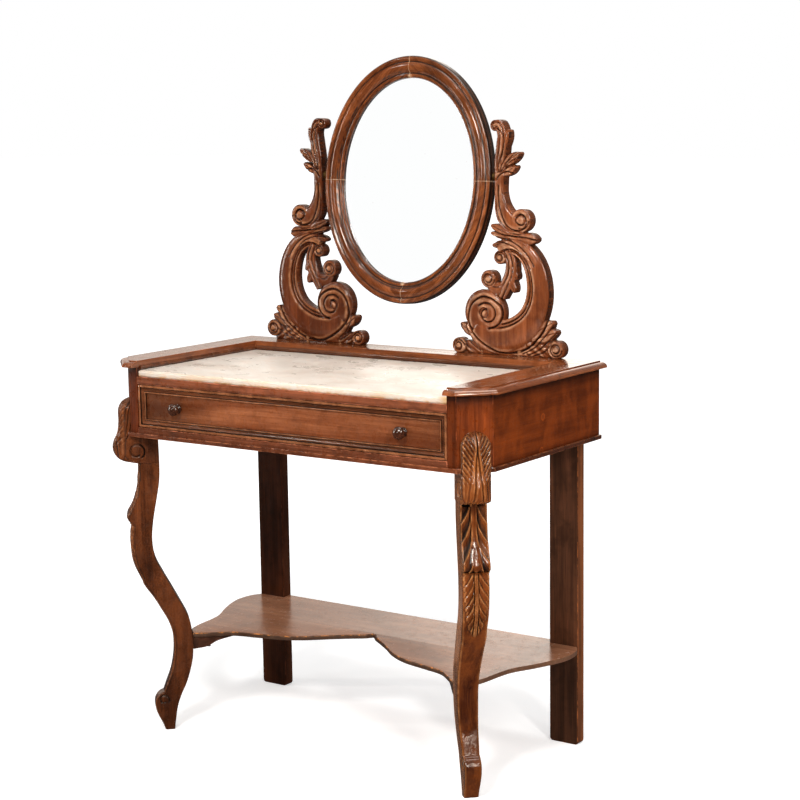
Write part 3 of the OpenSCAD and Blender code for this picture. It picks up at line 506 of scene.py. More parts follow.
def dip(distance, width, depth):
    """A V-tool's cut at a distance from its line."""
    return depth * np.exp(-(distance / width) ** 2)


def swell(share):
    """Round section from 1 in the middle to 0 at the edge."""
    return np.sqrt(np.clip(1.0 - np.clip(share, 0.0, 1.0) ** 2, 0.0, 1.0))


def blur(field, known, reach):
    """Mean over a square window of the known points alone."""
    def box(v):
        for axis in (0, 1):
            s = np.cumsum(np.pad(v, [(reach + 1, reach) if a == axis else (0, 0) for a in (0, 1)]), axis=axis)
            v = (np.take(s, range(2 * reach + 1, s.shape[axis]), axis)
                 - np.take(s, range(0, s.shape[axis] - 2 * reach - 1), axis))
        return v
    return box(np.where(known, field, 0.0)) / np.maximum(box(known.astype(float)), 1.0)


# ---- the carved standards ---------------------------------------------------

# All in millimetres: x runs out from the stem's inner edge, z up from the surround.

def carved_outline(side):
    """The pattern of one standard: its strips, volutes, leaf lobes and V-tool lines."""
    right = side > 0
    strips = {
        "scroll": [(-46, 53.5, 50), (-24, 39.5, 64), (11, 36.5, 66), (48, 47.5, 64), (78, 70.5, 60),
                   (95, 103.5, 55), (99, 140.5, 51), (91, 177.5, 46), (73, 205.5, 40), (48, 219.5, 33),
                   (26, 219.5, 27), (10, 211.5, 22)],
        "stem": [(14.5, 401.5, 18), (12, 372, 24), (11.3, 345, 22.6), (11.3, 325, 22.6), (14, 303, 29),
                 (22, 281.5, 38), (38, 265.5, 38), (56, 263.5, 36)],
        "crest": [(12.2, 373, 24.4), (13, 390, 26), (17, 420.5, 25), (18, 441.5, 22), (12, 459, 22),
                  (2, 461.5, 17)],
        "collar": [(11, 250.5, 26), (36, 237.5, 30), (66, 233.5, 30)],
        "hanging": [(26, 211.5, 20), (36, 187.5, 26), (35, 163.5, 30), (24, 141.5, 28), (12, 118, 24)],
        "stalk": [(-17, 150, 22), (-4, 136, 28), (11, 136, 25), (23, 143, 22)],
        "foot": [(-87, 12.5, 29), (0, 12.5, 25), (86, 22, 44), (120, 20, 40), (140, 16, 32)],
    }
    # the middle, the radius and which way it winds; the first is the great one
    volutes = [(-26, 84.5, 47, 0), (-15, 153 if right else 160, 18, -1), (61, 271.5, 23, -1),
               (12, 197.5, 14, 1), (2 if right else -1, 459.5, 11, 1), (140, 18 if right else 25, 18, -1),
               (-87, 15, 16, 1)]
    # the root, the tip, the width and the height of the top
    lobes = [((16, 402), (32, 451), 17, 22.4), ((14, 378), (57, 405.5), 20, 22.2),
             ((14, 358), (49, 379), 17, 21.6), ((36, 243), (-9, 261), 18, 22.0),
             ((36, 236), (-10, 246), 14, 21.6), ((36, 227), (-6, 220.5), 16, 22.0),
             ((52, 238.5), (97 if right else 88, 233.5), 24, 21.8), ((34, 182), (50, 153.5), 17, 20.6),
             ((31, 162), (45, 127.5), 17, 20.6), ((84, 44), (132, 71.5), 26, 21.0),
             ((84, 34), (141, 53), 26, 21.6), ((-46, 34), (-83, 60.5), 22, 21.4)]
    # the width, the depth and the line of each cut: the scroll's rim winding into its volute,
    # the eye, the stem's foot, the leaves' veins
    cuts = [
        (2.1, 4.2, [(122, 88), (118, 68), (108, 48), (92, 32), (74, 18), (50, 8), (24, 4), (2, 7), (-20, 17),
                    (-40, 30), (-54, 45), (-62, 60), (-63, 80), (-56, 99), (-43, 111), (-28, 117), (-10, 114),
                    (4, 106), (14, 97), (17, 82), (12, 68), (0, 57), (-14, 53)]),
        (1.8, 3.8, [(-38, 98), (-26, 104), (-11, 102), (-1, 92), (1, 81), (-5, 70), (-16, 66), (-27, 70),
                    (-32, 80), (-28, 90), (-19, 92)]),
        (1.7, 3.6, [(10, 340), (10, 315), (13, 295), (20, 275), (28, 262), (40, 254), (56, 251), (69, 257),
                    (74, 269), (70, 279), (60, 283), (51, 277), (50, 269), (58, 263)]),
        (1.4, 2.4, [(36, 345), (35, 320), (39, 302), (48, 290)]),
        (1.6, 3.0, [(6, 352), (12, 361), (22, 367), (32, 368), (46, 364)]),
        (1.3, 2.2, [(9, 367), (14, 390), (21, 410), (24, 430), (19, 446), (8, 454)]),
        (1.3, 2.2, [(11, 367), (24, 392), (33, 410), (37, 428), (35, 446)]),
        (1.3, 2.2, [(13, 367), (30, 388), (46, 404), (56, 412)]),
        (1.3, 2.2, [(15, 368), (34, 386), (54, 396), (74, 404)]),
        (1.3, 2.0, [(18, 369), (36, 378), (54, 380), (66, 378)]),
        (1.4, 2.6, [(-12, 256), (4, 247), (22, 242), (48, 240), (74, 238), (98, 233)]),
        (1.4, 2.6, [(-8, 240), (12, 237), (34, 232), (56, 222), (76, 205), (92, 182)]),
        (1.3, 2.2, [(-4, 226), (14, 228), (34, 224), (54, 214), (72, 197), (84, 176)]),
        (1.4, 2.6, [(50, 6), (70, 14), (92, 32), (110, 54), (122, 74)]),
        (1.4, 2.6, [(62, 5), (88, 18), (112, 40), (134, 66)]),
        (1.4, 2.6, [(74, 3), (98, 14), (122, 34), (142, 52)]),
        (1.4, 2.4, [(86, 2), (108, 10), (124, 22), (132, 34)]),
        (1.4, 2.6, [(-82, 58), (-74, 38), (-56, 18), (-34, 5)]),
        (1.3, 2.2, [(-70, 66), (-66, 46), (-54, 28), (-38, 14)]),
        (1.3, 2.2, [(-90, 30), (-76, 20), (-60, 8)]),
    ]

    def lift(points):
        """The tips of the two standards stand a little lower or higher than they were drawn."""
        return [(x, z + (-1 if right else 6) * float(rise(z, 340, 400)), *rest) for x, z, *rest in points]

    return ({kind: lift(line) for kind, line in strips.items()}, lift(volutes),
            [(*lift([root, tip]), width, top) for root, tip, width, top in lobes],
            [(width, depth, lift(line)) for width, depth, line in cuts])


def beside(line, x, z):
    """Signed distance off a line of (x, z, width), half its width there, and the distance past its ends."""
    near = np.full(x.shape, np.inf)
    off, half, past = (np.zeros(x.shape) for _ in range(3))
    for i, ((ax, az, aw), (bx, bz, bw)) in enumerate(zip(line, line[1:])):
        ex, ez = bx - ax, bz - az
        size = math.hypot(ex, ez)
        along = ((x - ax) * ex + (z - az) * ez) / size
        t = np.clip(along / size, 0.0, 1.0)
        dx, dz = x - (ax + t * ex), z - (az + t * ez)
        square = dx * dx + dz * dz
        before = -along if i == 0 else 0.0
        after = along - size if i == len(line) - 2 else 0.0
        found = (square, np.where(ex * dz - ez * dx >= 0, 1.0, -1.0) * np.sqrt(square),
                 (aw + t * (bw - aw)) / 2, np.maximum(0.0, np.maximum(before, after)))
        closer = square < near
        near, off, half, past = (np.where(closer, new, old)
                                 for new, old in zip(found, (near, off, half, past)))
    return off, half, past


def strip_height(kind, line, x, z):
    """How far inside a strip each point lies, and the height of the strip's carved section."""
    off, half, past = beside(smooth(line), x, z)
    inside = np.where(past > 0, -past, half - np.abs(off))
    share = np.abs(off) / half
    if kind == "scroll":
        in_by = half - off
        thin = np.clip(half / 27.0, 0.45, 1.0)
        height = 17.0 + 6.7 * swell((in_by - 15 * thin - (half - 7.5 * thin)) / (half - 6.0 * thin))
        height = np.where(in_by < 15 * thin, 19.6 + 2.2 * swell((in_by / thin - 11.5) / 3.8), height)
        height = np.where(in_by < 8.5 * thin, 18.6 + 3.0 * swell((in_by / thin - 4.5) / 4.4), height)
        height -= dip(in_by - 8.3 * thin, 1.5, 2.4) + dip(in_by - 15 * thin, 1.6, 3.0)
    elif kind == "stem":
        height = 20.5 + 2.2 * swell(share * 0.96)
        height -= dip(off + half - 5.0, 1.5, 2.0) * rise(z, 330, 300)
        height -= dip(half - off - 4.0, 1.3, 1.4) * rise(z, 345, 325)
    elif kind == "foot":
        height = 17.6 + 2.4 * swell(share)
        height -= 1.6 * (0.5 + 0.5 * np.sin((x * 0.9 + z * 1.3) / 3.4)) * (np.abs(x - 20) > 50)
    else:
        base, crown, lines = {
            "crest": (21.0, 2.6, ((3.5, 1.3, 1.8), (-4.5, 1.3, 1.8))),
            "collar": (19.8, 2.2, [(at, 1.4, 2.0) for at in (-9.0, -3.0, 3.5, 9.0)]),
            "hanging": (18.5, 3.4, ((4.5, 1.5, 2.6), (-4.5, 1.5, 2.6))),
            "stalk": (18.0, 3.4, ((2.0, 1.5, 1.8),)),
        }[kind]
        height = base + crown * swell(share)
        for at, width, depth in lines:
            height -= dip(off - at, width, depth)
    return inside, height


def volute_height(x0, z0, radius, x, z, spin, turns=1.35):
    """A rolled volute: its spiral groove winds in to a raised eye."""
    r = np.hypot(x - x0, z - z0)
    angle = np.arctan2(z - z0, x - x0)
    height = 21.6 + 1.8 * swell(r / radius)
    start, stop = 0.80 * radius, 0.36 * radius
    for lap in range(-1, 4):
        wound = ((angle * spin) % math.tau) + math.tau * lap
        share = wound / (math.tau * turns)
        groove = start + (stop - start) * np.clip(share, 0.0, 1.0)
        live = (share >= 0) & (share <= 1.0)
        height = height - np.where(live, dip(r - groove, 0.045 * radius + 0.7, 2.6), 0.0)
    height -= dip(r - stop, 0.9, 1.4)
    height += 0.9 * swell(r / (0.33 * radius))
    return radius - r, height


def lobe_height(root, tip, width, x, z, top):
    """A leaf lobe: a hollow flute between two ridges, dying into its root."""
    dx, dz = tip[0] - root[0], tip[1] - root[1]
    size = math.hypot(dx, dz)
    t = ((x - root[0]) * dx + (z - root[1]) * dz) / size ** 2
    off = ((z - root[1]) * dx - (x - root[0]) * dz) / size
    held = np.clip(t, 0.0, 1.0)
    phase = np.clip(((held * 8 + 0.15) / 8.3) ** 1.25, 0.0, 1.0)
    half = width / 2 * np.sin(math.pi * phase) ** 0.6
    inside = np.where((t < 0) | (t > 1), -size * np.maximum(-t, t - 1), np.minimum(
        half - np.abs(off), (1 - held) * size * 1.4 + 0.5))
    share = np.abs(off) / np.maximum(half, 0.5)
    height = top - 2.0 + 2.4 * swell(share) - dip(off, 1.1, 1.4)
    return inside, height


def standard_relief(side, x, z):
    """How far inside the outline each point of a grid lies, and the height of the carving there."""
    strips, volutes, lobes, cuts = carved_outline(side)
    inside, height = np.full(x.shape, -60.0), np.zeros(x.shape)
    rim_width, rim_drop, skirt, deeper, thinnest = 3.4, 3.2, 0.6, 1.45, 6.0

    def lay(part, level, seat=None):
        """Lays one part on the others, rounded down towards its own rim or the rim of its seat."""
        nonlocal inside, height
        rim = np.clip((part if seat is None else seat) + skirt, 0.0, rim_width) / rim_width
        rounded = level - rim_drop * (1 - np.sqrt(1 - (1 - rim) ** 2))
        height = np.where((part > -skirt) & (rounded > height), rounded, height)
        inside = np.maximum(inside, part)

    for kind in ("foot", "collar", "stalk", "hanging", "stem", "crest"):
        lay(*strip_height(kind, strips[kind], x, z))
    for root, tip, width, top in lobes:
        lay(*lobe_height(root, tip, width, x, z, top))
    middle_x, middle_z, radius, _ = volutes[0]
    from_eye = np.hypot(x - middle_x, z - middle_z)
    great = radius - from_eye
    band, level = strip_height("scroll", strips["scroll"], x, z)
    whole = np.maximum(band, great)
    lay(band, level, whole)
    eye = np.where(from_eye > 11, 2.6 * swell((from_eye - 27.0) / 16.0), 2.4 * swell(from_eye / 11.0))
    lay(great, 20.6 + eye, whole)
    for middle_x, middle_z, radius, spin in volutes[1:]:
        lay(*volute_height(middle_x, middle_z, radius, x, z, spin))
    for width, depth, line in cuts:
        line = [(a, b, 1.0) for a, b in smooth(line)]
        height -= dip(beside(line, x, z)[0], 0.82 * width, depth)
    height = np.clip(STANDARD_THICK - deeper * (STANDARD_THICK - height), thinnest, STANDARD_THICK - 0.15)
    return np.minimum(inside, z), height


def carve_standard(side):
    """One pierced scroll standard, cut as a relief over its sawn outline."""
    step = 1.25
    xs = np.arange(-112.5, 165.0, step)
    zs = np.arange(-2.5, 482.5, step) + 1e-3
    inside, height = standard_relief(side, *np.meshgrid(xs, zs, indexing="ij"))
    body = inside > 0
    fine, broad = blur(height, body, 2), blur(height, body, 6)
    # painted shade in the carving's hollows, and painted highlight with wear on its crests, both from the
    # height field
    hollow = 0.7 * rise(fine - height, 0.2, 1.7) + 0.6 * rise(broad - height, 0.7, 4.9)
    crest = rise(height - broad, 0.5, 2.2)

    points, marks, index = [], [], {}

    def put(key, x, z, level, *shades):
        index[key] = len(points)
        points.append((x, z, level))
        marks.append(shades)
        return index[key]

    def crossing(a, b):
        """The point where the outline cuts the grid's line from a to b."""
        p, q = key = (a, b) if a < b else (b, a)
        if key in index:
            return index[key]
        t = inside[p] / (inside[p] - inside[q])
        solid = p if inside[p] > 0 else q
        return put(key, xs[p[0]] + t * (xs[q[0]] - xs[p[0]]), zs[p[1]] + t * (zs[q[1]] - zs[p[1]]),
                   height[solid] - 0.9, hollow[solid] * 0.6, crest[solid])

    for i, j in zip(*np.nonzero(body)):
        put((i, j), xs[i], zs[j], height[i, j], hollow[i, j], crest[i, j])

    front, rim = [], []
    near = body[:-1, :-1] | body[1:, :-1] | body[:-1, 1:] | body[1:, 1:]
    for i, j in zip(*np.nonzero(near)):
        ring = [(i, j), (i + 1, j), (i + 1, j + 1), (i, j + 1)]
        lit = [bool(body[c]) for c in ring]
        if lit in ([True, False, True, False], [False, True, False, True]):
            for c in (0, 2) if lit[0] else (1, 3):
                one, two = crossing(ring[c], ring[(c + 1) % 4]), crossing(ring[c - 1], ring[c])
                front.append([two, index[ring[c]], one])
                rim.append((one, two))
            continue
        face, ends = [], {}
        for a, b in zip(ring, ring[1:] + ring[:1]):
            if body[a]:
                face.append(index[a])
            if body[a] != body[b]:
                ends[bool(body[a])] = crossing(a, b)
                face.append(ends[bool(body[a])])
        front.append(face)
        if ends:
            rim.append((ends[True], ends[False]))

    n = len(points)
    faces = [f[::-side] for f in front] + [[v + n for v in f[::side]] for f in front]
    faces += [[a, b, b + n, a + n][::side] for a, b in rim]
    where = [(side * (STEM + x), STANDARD_REAR - h, SURROUND + z) for x, z, h in points]
    where += [(x, STANDARD_REAR, z) for x, _, z in where]
    hollows, crests = zip(*marks)
    # the back face gets painted shade as well
    made = piece("carved_standard_" + HAND[side], where, faces,
                 "carved_{}_standard_mahogany".format(HAND[side]), sharp=50.0,
                 hollow=hollows + (0.45,) * n, crest=crests + (0.0,) * n)
    stands_for(made, "stand", "carved_wood", "standard_" + HAND[side])


# ---- the carved front legs --------------------------------------------------

# the carcass's underside, and where the knee, the bud and the leaf end, up from the floor
UNDERSIDE, KNEE_END, BUD_END, LEAF_END = 630.0, 571.0, 446.0, 318.0
KNEE_FRONT = smooth([(0, 706), (15, 698), (24, 682), (24.5, 656), (28, 632), (35.5, 616), (38, 602),
                     (34, 588), (23, 577), (9, 573), (-12, 571)])
LEAF_FRONT = smooth([(-12, 571), (-11, 548), (-8, 518), (-3, 497), (5, 480), (13, 463), (14, 453), (6, 441)])
SHANK_FRONT = smooth([(6, 441), (9, 417), (9, 398), (6, 367), (-3, 341), (-17, 313), (-34, 288), (-50, 260),
                      (-63, 235), (-71, 209), (-73.5, 186), (-72, 157), (-66, 127), (-57, 103), (-49, 82)])
FOOT_FRONT = smooth([(-49, 82), (-39, 77), (-31.5, 65), (-31, 49), (-36, 33), (-45, 14), (-50, 0)])
LEG_BACK = smooth([(-70, 0), (-71.5, 14), (-77, 48), (-86, 75), (-97, 99), (-106, 128), (-111.5, 155),
                   (-113, 185), (-111, 212), (-105, 241), (-89.5, 273), (-73.5, 304), (-56.5, 336),
                   (-43.5, 363), (-37, 390), (-35.5, 415), (-37.5, 440), (-42, 468), (-49, 504), (-54, 536),
                   (-55, 571), (-54, 630)])
SHANK_EDGE = smooth([(14.5, 0), (15.5, 30), (16.7, 60), (16.5, 78), (17.3, 100), (20, 160), (21, 220),
                     (24, 330), (25.5, 420), (25.5, 571)])


def on_leg(a, b=0.0, side=1):
    """The place of a point a forward of a front leg's middle line and b across from it."""
    return side * (LEG_MIDDLE[0] + DIAGONAL * a + DIAGONAL * b), LEG_MIDDLE[1] - DIAGONAL * a + DIAGONAL * b


def leg_front_at(z):
    line = np.vstack([KNEE_FRONT, LEAF_FRONT[1:], SHANK_FRONT[1:], FOOT_FRONT[1:]])[::-1]
    return np.interp(z, line[:, 1], line[:, 0])


def leg_back_at(z):
    return np.interp(z, LEG_BACK[:, 1], LEG_BACK[:, 0])


def leg_half_width(z):
    plain = np.interp(z, SHANK_EDGE[:, 1], SHANK_EDGE[:, 0])
    knee = np.where(z > 679, np.sqrt(np.clip(27.0 ** 2 - (z - 679) ** 2, 0, None)), 27.0)
    return np.where(z > KNEE_END, knee, plain)


def fronds(across, z, root, spacing, flare):
    """Overlapping fronds that leave the middle rib and curl down and out; 0 on each lip, 1 behind it."""
    fall = z + np.sqrt(np.maximum(across - root, 0.0) / flare)
    return (-fall / spacing) % 1.0


def leg_cut(b, z, half):
    """Depth of the carving under the leg's front curve, b across from its middle line."""
    across = np.abs(b)
    share = across / max(half, 0.5)
    cut = np.zeros_like(b)
    if z > KNEE_END:
        cut += 9.0 * share ** 2.6
        rib = np.interp(z, [573, 590, 625, 662, 676], [9.5, 8.0, 5.0, 1.6, 0.0])
        lobe = np.interp(z, [573, 600, 640, 690], [19.0, 17.0, 12.5, 5.0])
        feather = ((z - 1.55 * across) / 11.5) % 1.0
        cut += rise(across - rib, 3.5, 6.5) * rise(z, 606, 622) * 2.3 * (1 - feather) ** 1.4
        cut += dip(across, 1.3, 2.4) * rise(z, 655, 669)
        cut += dip(across - rib, 1.4, 2.8) * (z < 672)
        cut += dip(across - lobe, 1.5, 1.9) * rise(z, 668, 648)
        cut += 0.9 * np.where(across < rib, across / max(rib, 1.0), 0.0) ** 2
        heel = 577.0 + 4.5 * (0.5 - 0.5 * np.cos(math.tau * across / 9.5))
        cut += 3.2 * rise(heel - z, 0.0, 5.0) ** 1.5
    elif z > BUD_END:
        blade = fronds(across, z - 3.0, 6.0, 34.0, 0.0085)
        vein = np.abs((blade * 3) % 1.0 - 0.5)
        cut += 0.7 + 4.6 * blade ** 1.15 + 0.7 * np.clip(1 - vein * 9, 0, 1)
        cut *= 1.0 - 2.6 * np.clip(share - 0.8, 0, 1)
        stem = np.interp(z, [446, 449, 453, 458, 465, 476, 488, 500, 520, 571],
                         [0.0, 6.0, 9.5, 11.8, 12.8, 11.3, 8.4, 6.4, 5.4, 6.2])
        bulge = 5.5 if z < 492 else 1.6
        bud = 0.3 + bulge * (1 - swell(across / max(stem, 0.4)))
        cut = np.where(across < stem, np.minimum(bud, cut),
                       np.maximum(cut, 2.6 * np.exp(-(across - stem) / 2.5)))
        cut += (z > 565) * 2.5 * (across > stem) * (across < half - 4)
        cut += 3.5 * np.exp(-((z - 447.5) / 2.0) ** 2)
    elif z > LEAF_END:
        leaf = np.interp(z, [318, 326, 336, 360, 400, 430, 446], [1.5, 7, 12.5, 19.5, 23.5, 25.5, 25.5])
        leaf = leaf - 3.0 * (((z + 6.0) / 19.0) % 1.0) ** 2
        cut += 0.6 + 3.1 * fronds(across, z, 3.5, 21.0, 0.011) ** 1.2
        cut += dip(across - 3.8, 1.1, 1.8)
        cut = np.where(across < 3.4, 0.3 + 0.8 * (across / 3.4) ** 2, cut)
        lip = rise(z, BUD_END, BUD_END - 5)
        cut = lip * cut + (1 - lip) * 1.0
        outside = 1 / (1 + np.exp(-(across - leaf) / 0.6))
        cut = cut * (1 - outside) + outside * 4.6 * rise(z, LEAF_END, LEAF_END + 14)
        cut *= rise(z, 316, 324)
    round_off = 4.5 if z < BUD_END else 3.0
    corner = np.clip(across - (half - round_off), 0, round_off)
    return cut + round_off - np.sqrt(np.clip(round_off ** 2 - corner ** 2, 0, None))


def rolled_groove(a, z, middle, limit, start, outer, narrowed, width, depth):
    """A flank volute's groove, one turn from its outer radius in, and the distance from its eye."""
    x0, z0 = middle
    r = np.hypot(a - x0, z - z0)
    turn = (start - np.arctan2(z - z0, a - x0)) % math.tau
    return np.where(r < limit, dip(r - (outer - narrowed * turn / math.tau), width, depth), 0.0), r


def side_cut(a, z, front):
    """Depth of the carving on a leg's flanks: the knee's volute and sweeps, the foot's volute."""
    cut = np.zeros_like(a)
    if z > KNEE_END:
        groove, r = rolled_groove(a, z, (-9.5, 596.5), 18.5, -2.21, 17.0, 7.0, 1.5, 3.0)
        cut += groove
        sweep = front - a - 0.10 * np.clip(z - 596, 0, None)
        reach = ((r > 17.5) & (a > -24)) * rise(z, KNEE_END, KNEE_END + 10)
        for line in (5.5, 12.0, 19.5):
            cut += dip(sweep - line, 1.2, 2.2) * reach
    elif z < 96:
        cut += rolled_groove(a, z, (-48.5, 65.0), 13.0, -2.5, 11.5, 6.0, 1.2, 2.2)[0]
    elif z < BUD_END:
        cut += dip(front - a - 6.0, 1.2, 0.5)
    return cut


def carve_leg(side):
    """One cabriole leg: carved knee, leaves and bud down its face, a plain shank and a scrolled foot."""
    levels = np.concatenate([np.arange(705.6, 577.0, -1.5), np.arange(577.0, 570.4, -0.6),
                             np.arange(570.4, LEAF_END, -1.5), np.arange(LEAF_END, 92.0, -5.0),
                             np.arange(92.0, 2.0, -2.5), [1.2, 0.0, UNDERSIDE, UNDERSIDE + 0.01, KNEE_END]])
    levels = np.unique(levels)[::-1]
    across, deep, rear = 71, 60, 9  # points of each ring: over the face, down a flank, behind
    size = across + 2 * deep + rear
    # painted light on the right leg's flanks
    pale_side = 0.45 if side > 0 else 0.0
    points, hollow, crest = [], [], []
    for z in levels:
        half, nominal = float(leg_half_width(z)), float(leg_front_at(z))
        back = 0.0 if z > UNDERSIDE else float(leg_back_at(z))
        heel = 10.5 * (1 - math.sqrt(1 - rise(z, 595, 570.5) ** 2)) if z > KNEE_END else 0.0
        b = (half - heel) * np.linspace(-1, 1, across)
        limit = 38 - 14 * (b / 27.0) ** 2 if z > KNEE_END else 99.0
        cut = leg_cut(b, z, half)
        a = np.maximum(np.minimum(nominal, limit) - cut, back + 0.4)
        smoothed = np.convolve(np.pad(cut, 4, mode="edge"), np.ones(9) / 9, "valid")
        # painted shade in the cuts, deeper between the fronds, in the flank carving and behind
        ring, shade = [np.stack([a, b])], [np.clip((cut - smoothed) / 1.2, 0, 1)]
        if BUD_END < z < KNEE_END:
            shade[0] += np.clip((cut - 1.5) / 2.8, 0, 0.95)
        for sign, end in ((1, a[-1]), (-1, a[0])):
            runs = np.linspace(end, back, deep + 2)[1:-1]
            flank = side_cut(runs, z, nominal)
            inset = np.clip(np.minimum(flank, 3.0) + heel * rise(runs, -6, 6), 0, max(half - 0.3, 0))
            corner = np.clip((back + 2.2) - runs, 0, 2.2)
            inset = inset + (2.2 - np.sqrt(np.clip(2.2 ** 2 - corner ** 2, 0, None))) * (z <= UNDERSIDE)
            ring.append(np.stack([runs, sign * (half - inset)])[:, ::sign])
            shade.append(np.clip(flank / 1.8, 0, 1)[::sign])
        span = np.linspace(1, -1, rear + 2)[1:-1]
        ring.insert(2, np.stack([np.full(rear, back), half * span * 0.97]))
        shade.insert(2, np.full(rear, 0.1))
        points += [(p, q, z) for p, q in np.concatenate(ring, axis=1).T]
        hollow += list(np.concatenate(shade))
        # painted highlight, with wear, where the face stands proud of its neighbours
        crest += list(np.clip((smoothed - cut - 0.1) / 1.2, 0, 1)) + [0.0] * (size - across)
    where = [(*on_leg(a, b, side), z) for a, b, z in points]
    made = piece("carved_leg_" + HAND[side], where, lofted(size, len(levels), caps=-1),
                 "carved_{}_leg_mahogany".format(HAND[side]), sharp=55.0, hollow=hollow, crest=crest,
                 pale=([0.0] * across + [pale_side] * (size - across)) * len(levels))
    stands_for(made, "stand", "carved_wood", "front_leg_" + HAND[side])


# ---- geometry nodes ---------------------------------------------------------

class Pattern(Tree):
    """A geometry-node tree in the making, with named inputs."""
    family = "GeometryNode"

    def __init__(self, name, *numbers, **others):
        super().__init__(bpy.data.node_groups.new(name, "GeometryNodeTree"))
        self.names = {}
        inputs = {"Geometry": "Geometry", "finish": "Material", **dict.fromkeys(numbers, "Float"), **others}
        for key, kind in inputs.items():
            made = self.tree.interface.new_socket(key, in_out="INPUT", socket_type="NodeSocket" + kind)
            self.names[key] = made.identifier
        self.tree.interface.new_socket("Geometry", in_out="OUTPUT", socket_type="NodeSocketGeometry")
        self.given = self.tree.nodes.new("NodeGroupInput")

    def __getitem__(self, key):
        return Signal(self, self.given.outputs[key])

    def close(self, geometry):
        whole = self.add("RealizeInstances", {"Geometry": geometry})
        dressed = self.add("SetMaterial", {"Geometry": whole, "Material": self["finish"]})
        self.add("NodeGroupOutput", {0: dressed})
        return self

    def grow(self, name, base, finish, sharp, **values):
        """Runs the tree once over a base and keeps its result as a plain mesh."""
        seed = placed(name + "_seed", base)
        work = seed.modifiers.new("pattern", "NODES")
        work.node_group = self.tree
        for key, value in dict(values, finish=finishes[finish]).items():
            work[self.names[key]] = value
        bpy.context.view_layer.update()
        ready = seed.evaluated_get(bpy.context.evaluated_depsgraph_get())
        mesh = bpy.data.meshes.new_from_object(ready)
        bpy.data.objects.remove(seed)
        mesh.name = name
        outwards(mesh)
        return finished(name, mesh, finish, sharp)


def moulded_oval():
    """A quarter of the mirror's moulding, its section swept along the oval and leant back."""
    p = Pattern("oval_moulding", "start_angle", "sweep", "half_width", "half_height", "lean", steps="Int",
                section="Object")
    # the first and last rings stand close to the glue line, so that it stays thin
    share = (p.add("InputIndex") - 0.85) / (p["steps"] - 2.7)
    share = p.math("MINIMUM", p.math("MAXIMUM", share, 0.0), 1.0)
    angle = p["start_angle"] + share * p["sweep"]
    spot = p.vector(p["half_width"] * p.math("COSINE", angle), p["half_height"] * p.math("SINE", angle), 0.0)
    line = p.add("MeshLine", {"Count": p["steps"], "Offset": ORIGIN})
    path = p.add("MeshToCurve", {"Mesh": p.add("SetPosition", {"Geometry": line, "Position": spot})})
    shape = p.add("ObjectInfo", {"Object": p["section"]}, out="Geometry")
    swept = p.add("CurveToMesh", {"Curve": path, "Profile Curve": shape, "Fill Caps": True})
    upright = p.add("Transform", {
        "Geometry": swept, "Rotation": (math.pi / 2, 0.0, 0.0),
        "Translation": (0.0, MM * (STANDARD_REAR - PIVOT.y), MM * (OVAL_MIDDLE - PIVOT.z))})
    back = p.vector(p["lean"] * -1.0, 0.0, 0.0)
    return p.close(p.add("Transform", {
        "Geometry": upright, "Rotation": back, "Translation": tuple(MM * PIVOT)}))


def hang_mirror():
    """The four glued quarters of the oval frame, the glass and its backboard."""
    profile = [(0, 0), (0, 13.6), (0.2, 16.6), (1.1, 19.2), (2.8, 20.9), (5.2, 21.6), (7.4, 21.5),
               (9.2, 21.0), (10.6, 19.9), (11.7, 19.3), (12.7, 19.7), (13.6, 20.9), (15.4, 22.4),
               (18.4, 23.5), (21.8, 23.95), (24.6, 23.8), (27.4, 22.9), (30.0, 21.2), (32.2, 19.0),
               (33.6, 17.2), (34.9, 16.5), (36.0, 16.9), (37.4, 17.5), (39.4, 17.65), (41.4, 17.3),
               (43.0, 16.2), (44.2, 14.7), (44.9, 13.0), (45.0, 10.2), (35.0, 10.2), (35.0, 0)]
    curve = bpy.data.curves.new("frame_section", "CURVE")
    line = curve.splines.new("POLY")
    line.points.add(len(profile) - 1)
    for spot, (s, h) in zip(line.points, profile):
        spot.co = (-MM * s, -MM * h, 0.0, 1.0)
    line.use_cyclic_u = True
    section = placed("frame_section", curve)
    pattern = moulded_oval()
    gap = 0.0009
    upright = Matrix.Rotation(LEAN, 3, "X")
    for quarter, corner in enumerate(("top_right", "top_left", "bottom_left", "bottom_right")):
        made = pattern.grow(
            "oval_frame_" + corner, bpy.data.meshes.new("oval_" + corner), "frame_mahogany_" + corner,
            sharp=46.0, start_angle=quarter * math.pi / 2 + gap, sweep=math.pi / 2 - 2 * gap, steps=49,
            half_width=MM * OVAL_HALF[0], half_height=MM * OVAL_HALF[1], section=section, lean=LEAN)
        hollow, glued = [], []
        for v in made.data.vertices:
            flat = upright @ (v.co / MM - PIVOT) + PIVOT
            depth = STANDARD_REAR - flat.y
            # painted shade in the quirks and over the frame's sides and back; the glue joints are marked
            # lighter
            quirk = 19.0 < depth < 19.8 or 16.2 < depth < 17.0 or depth < 11
            hollow.append(1.0 if quirk else 0.5 if depth < 14.5 else 0.0)
            glued.append(float(min(abs(flat.x), abs(flat.z - OVAL_MIDDLE)) < 0.6))
        mark(made.data, "hollow", hollow)
        mark(made.data, "crest", glued)
        stands_for(made, "mirror", "frame_wood", "frame_segment_" + corner)
    bpy.data.objects.remove(section)
    softened("mirror_glass", "silvered_glass", "mirror", "mirror_glass", 0.5, "mirror_plate")
    softened("mirror_backboard", "deal_upright", "mirror", "backboard", 0.5, "mirror_back")


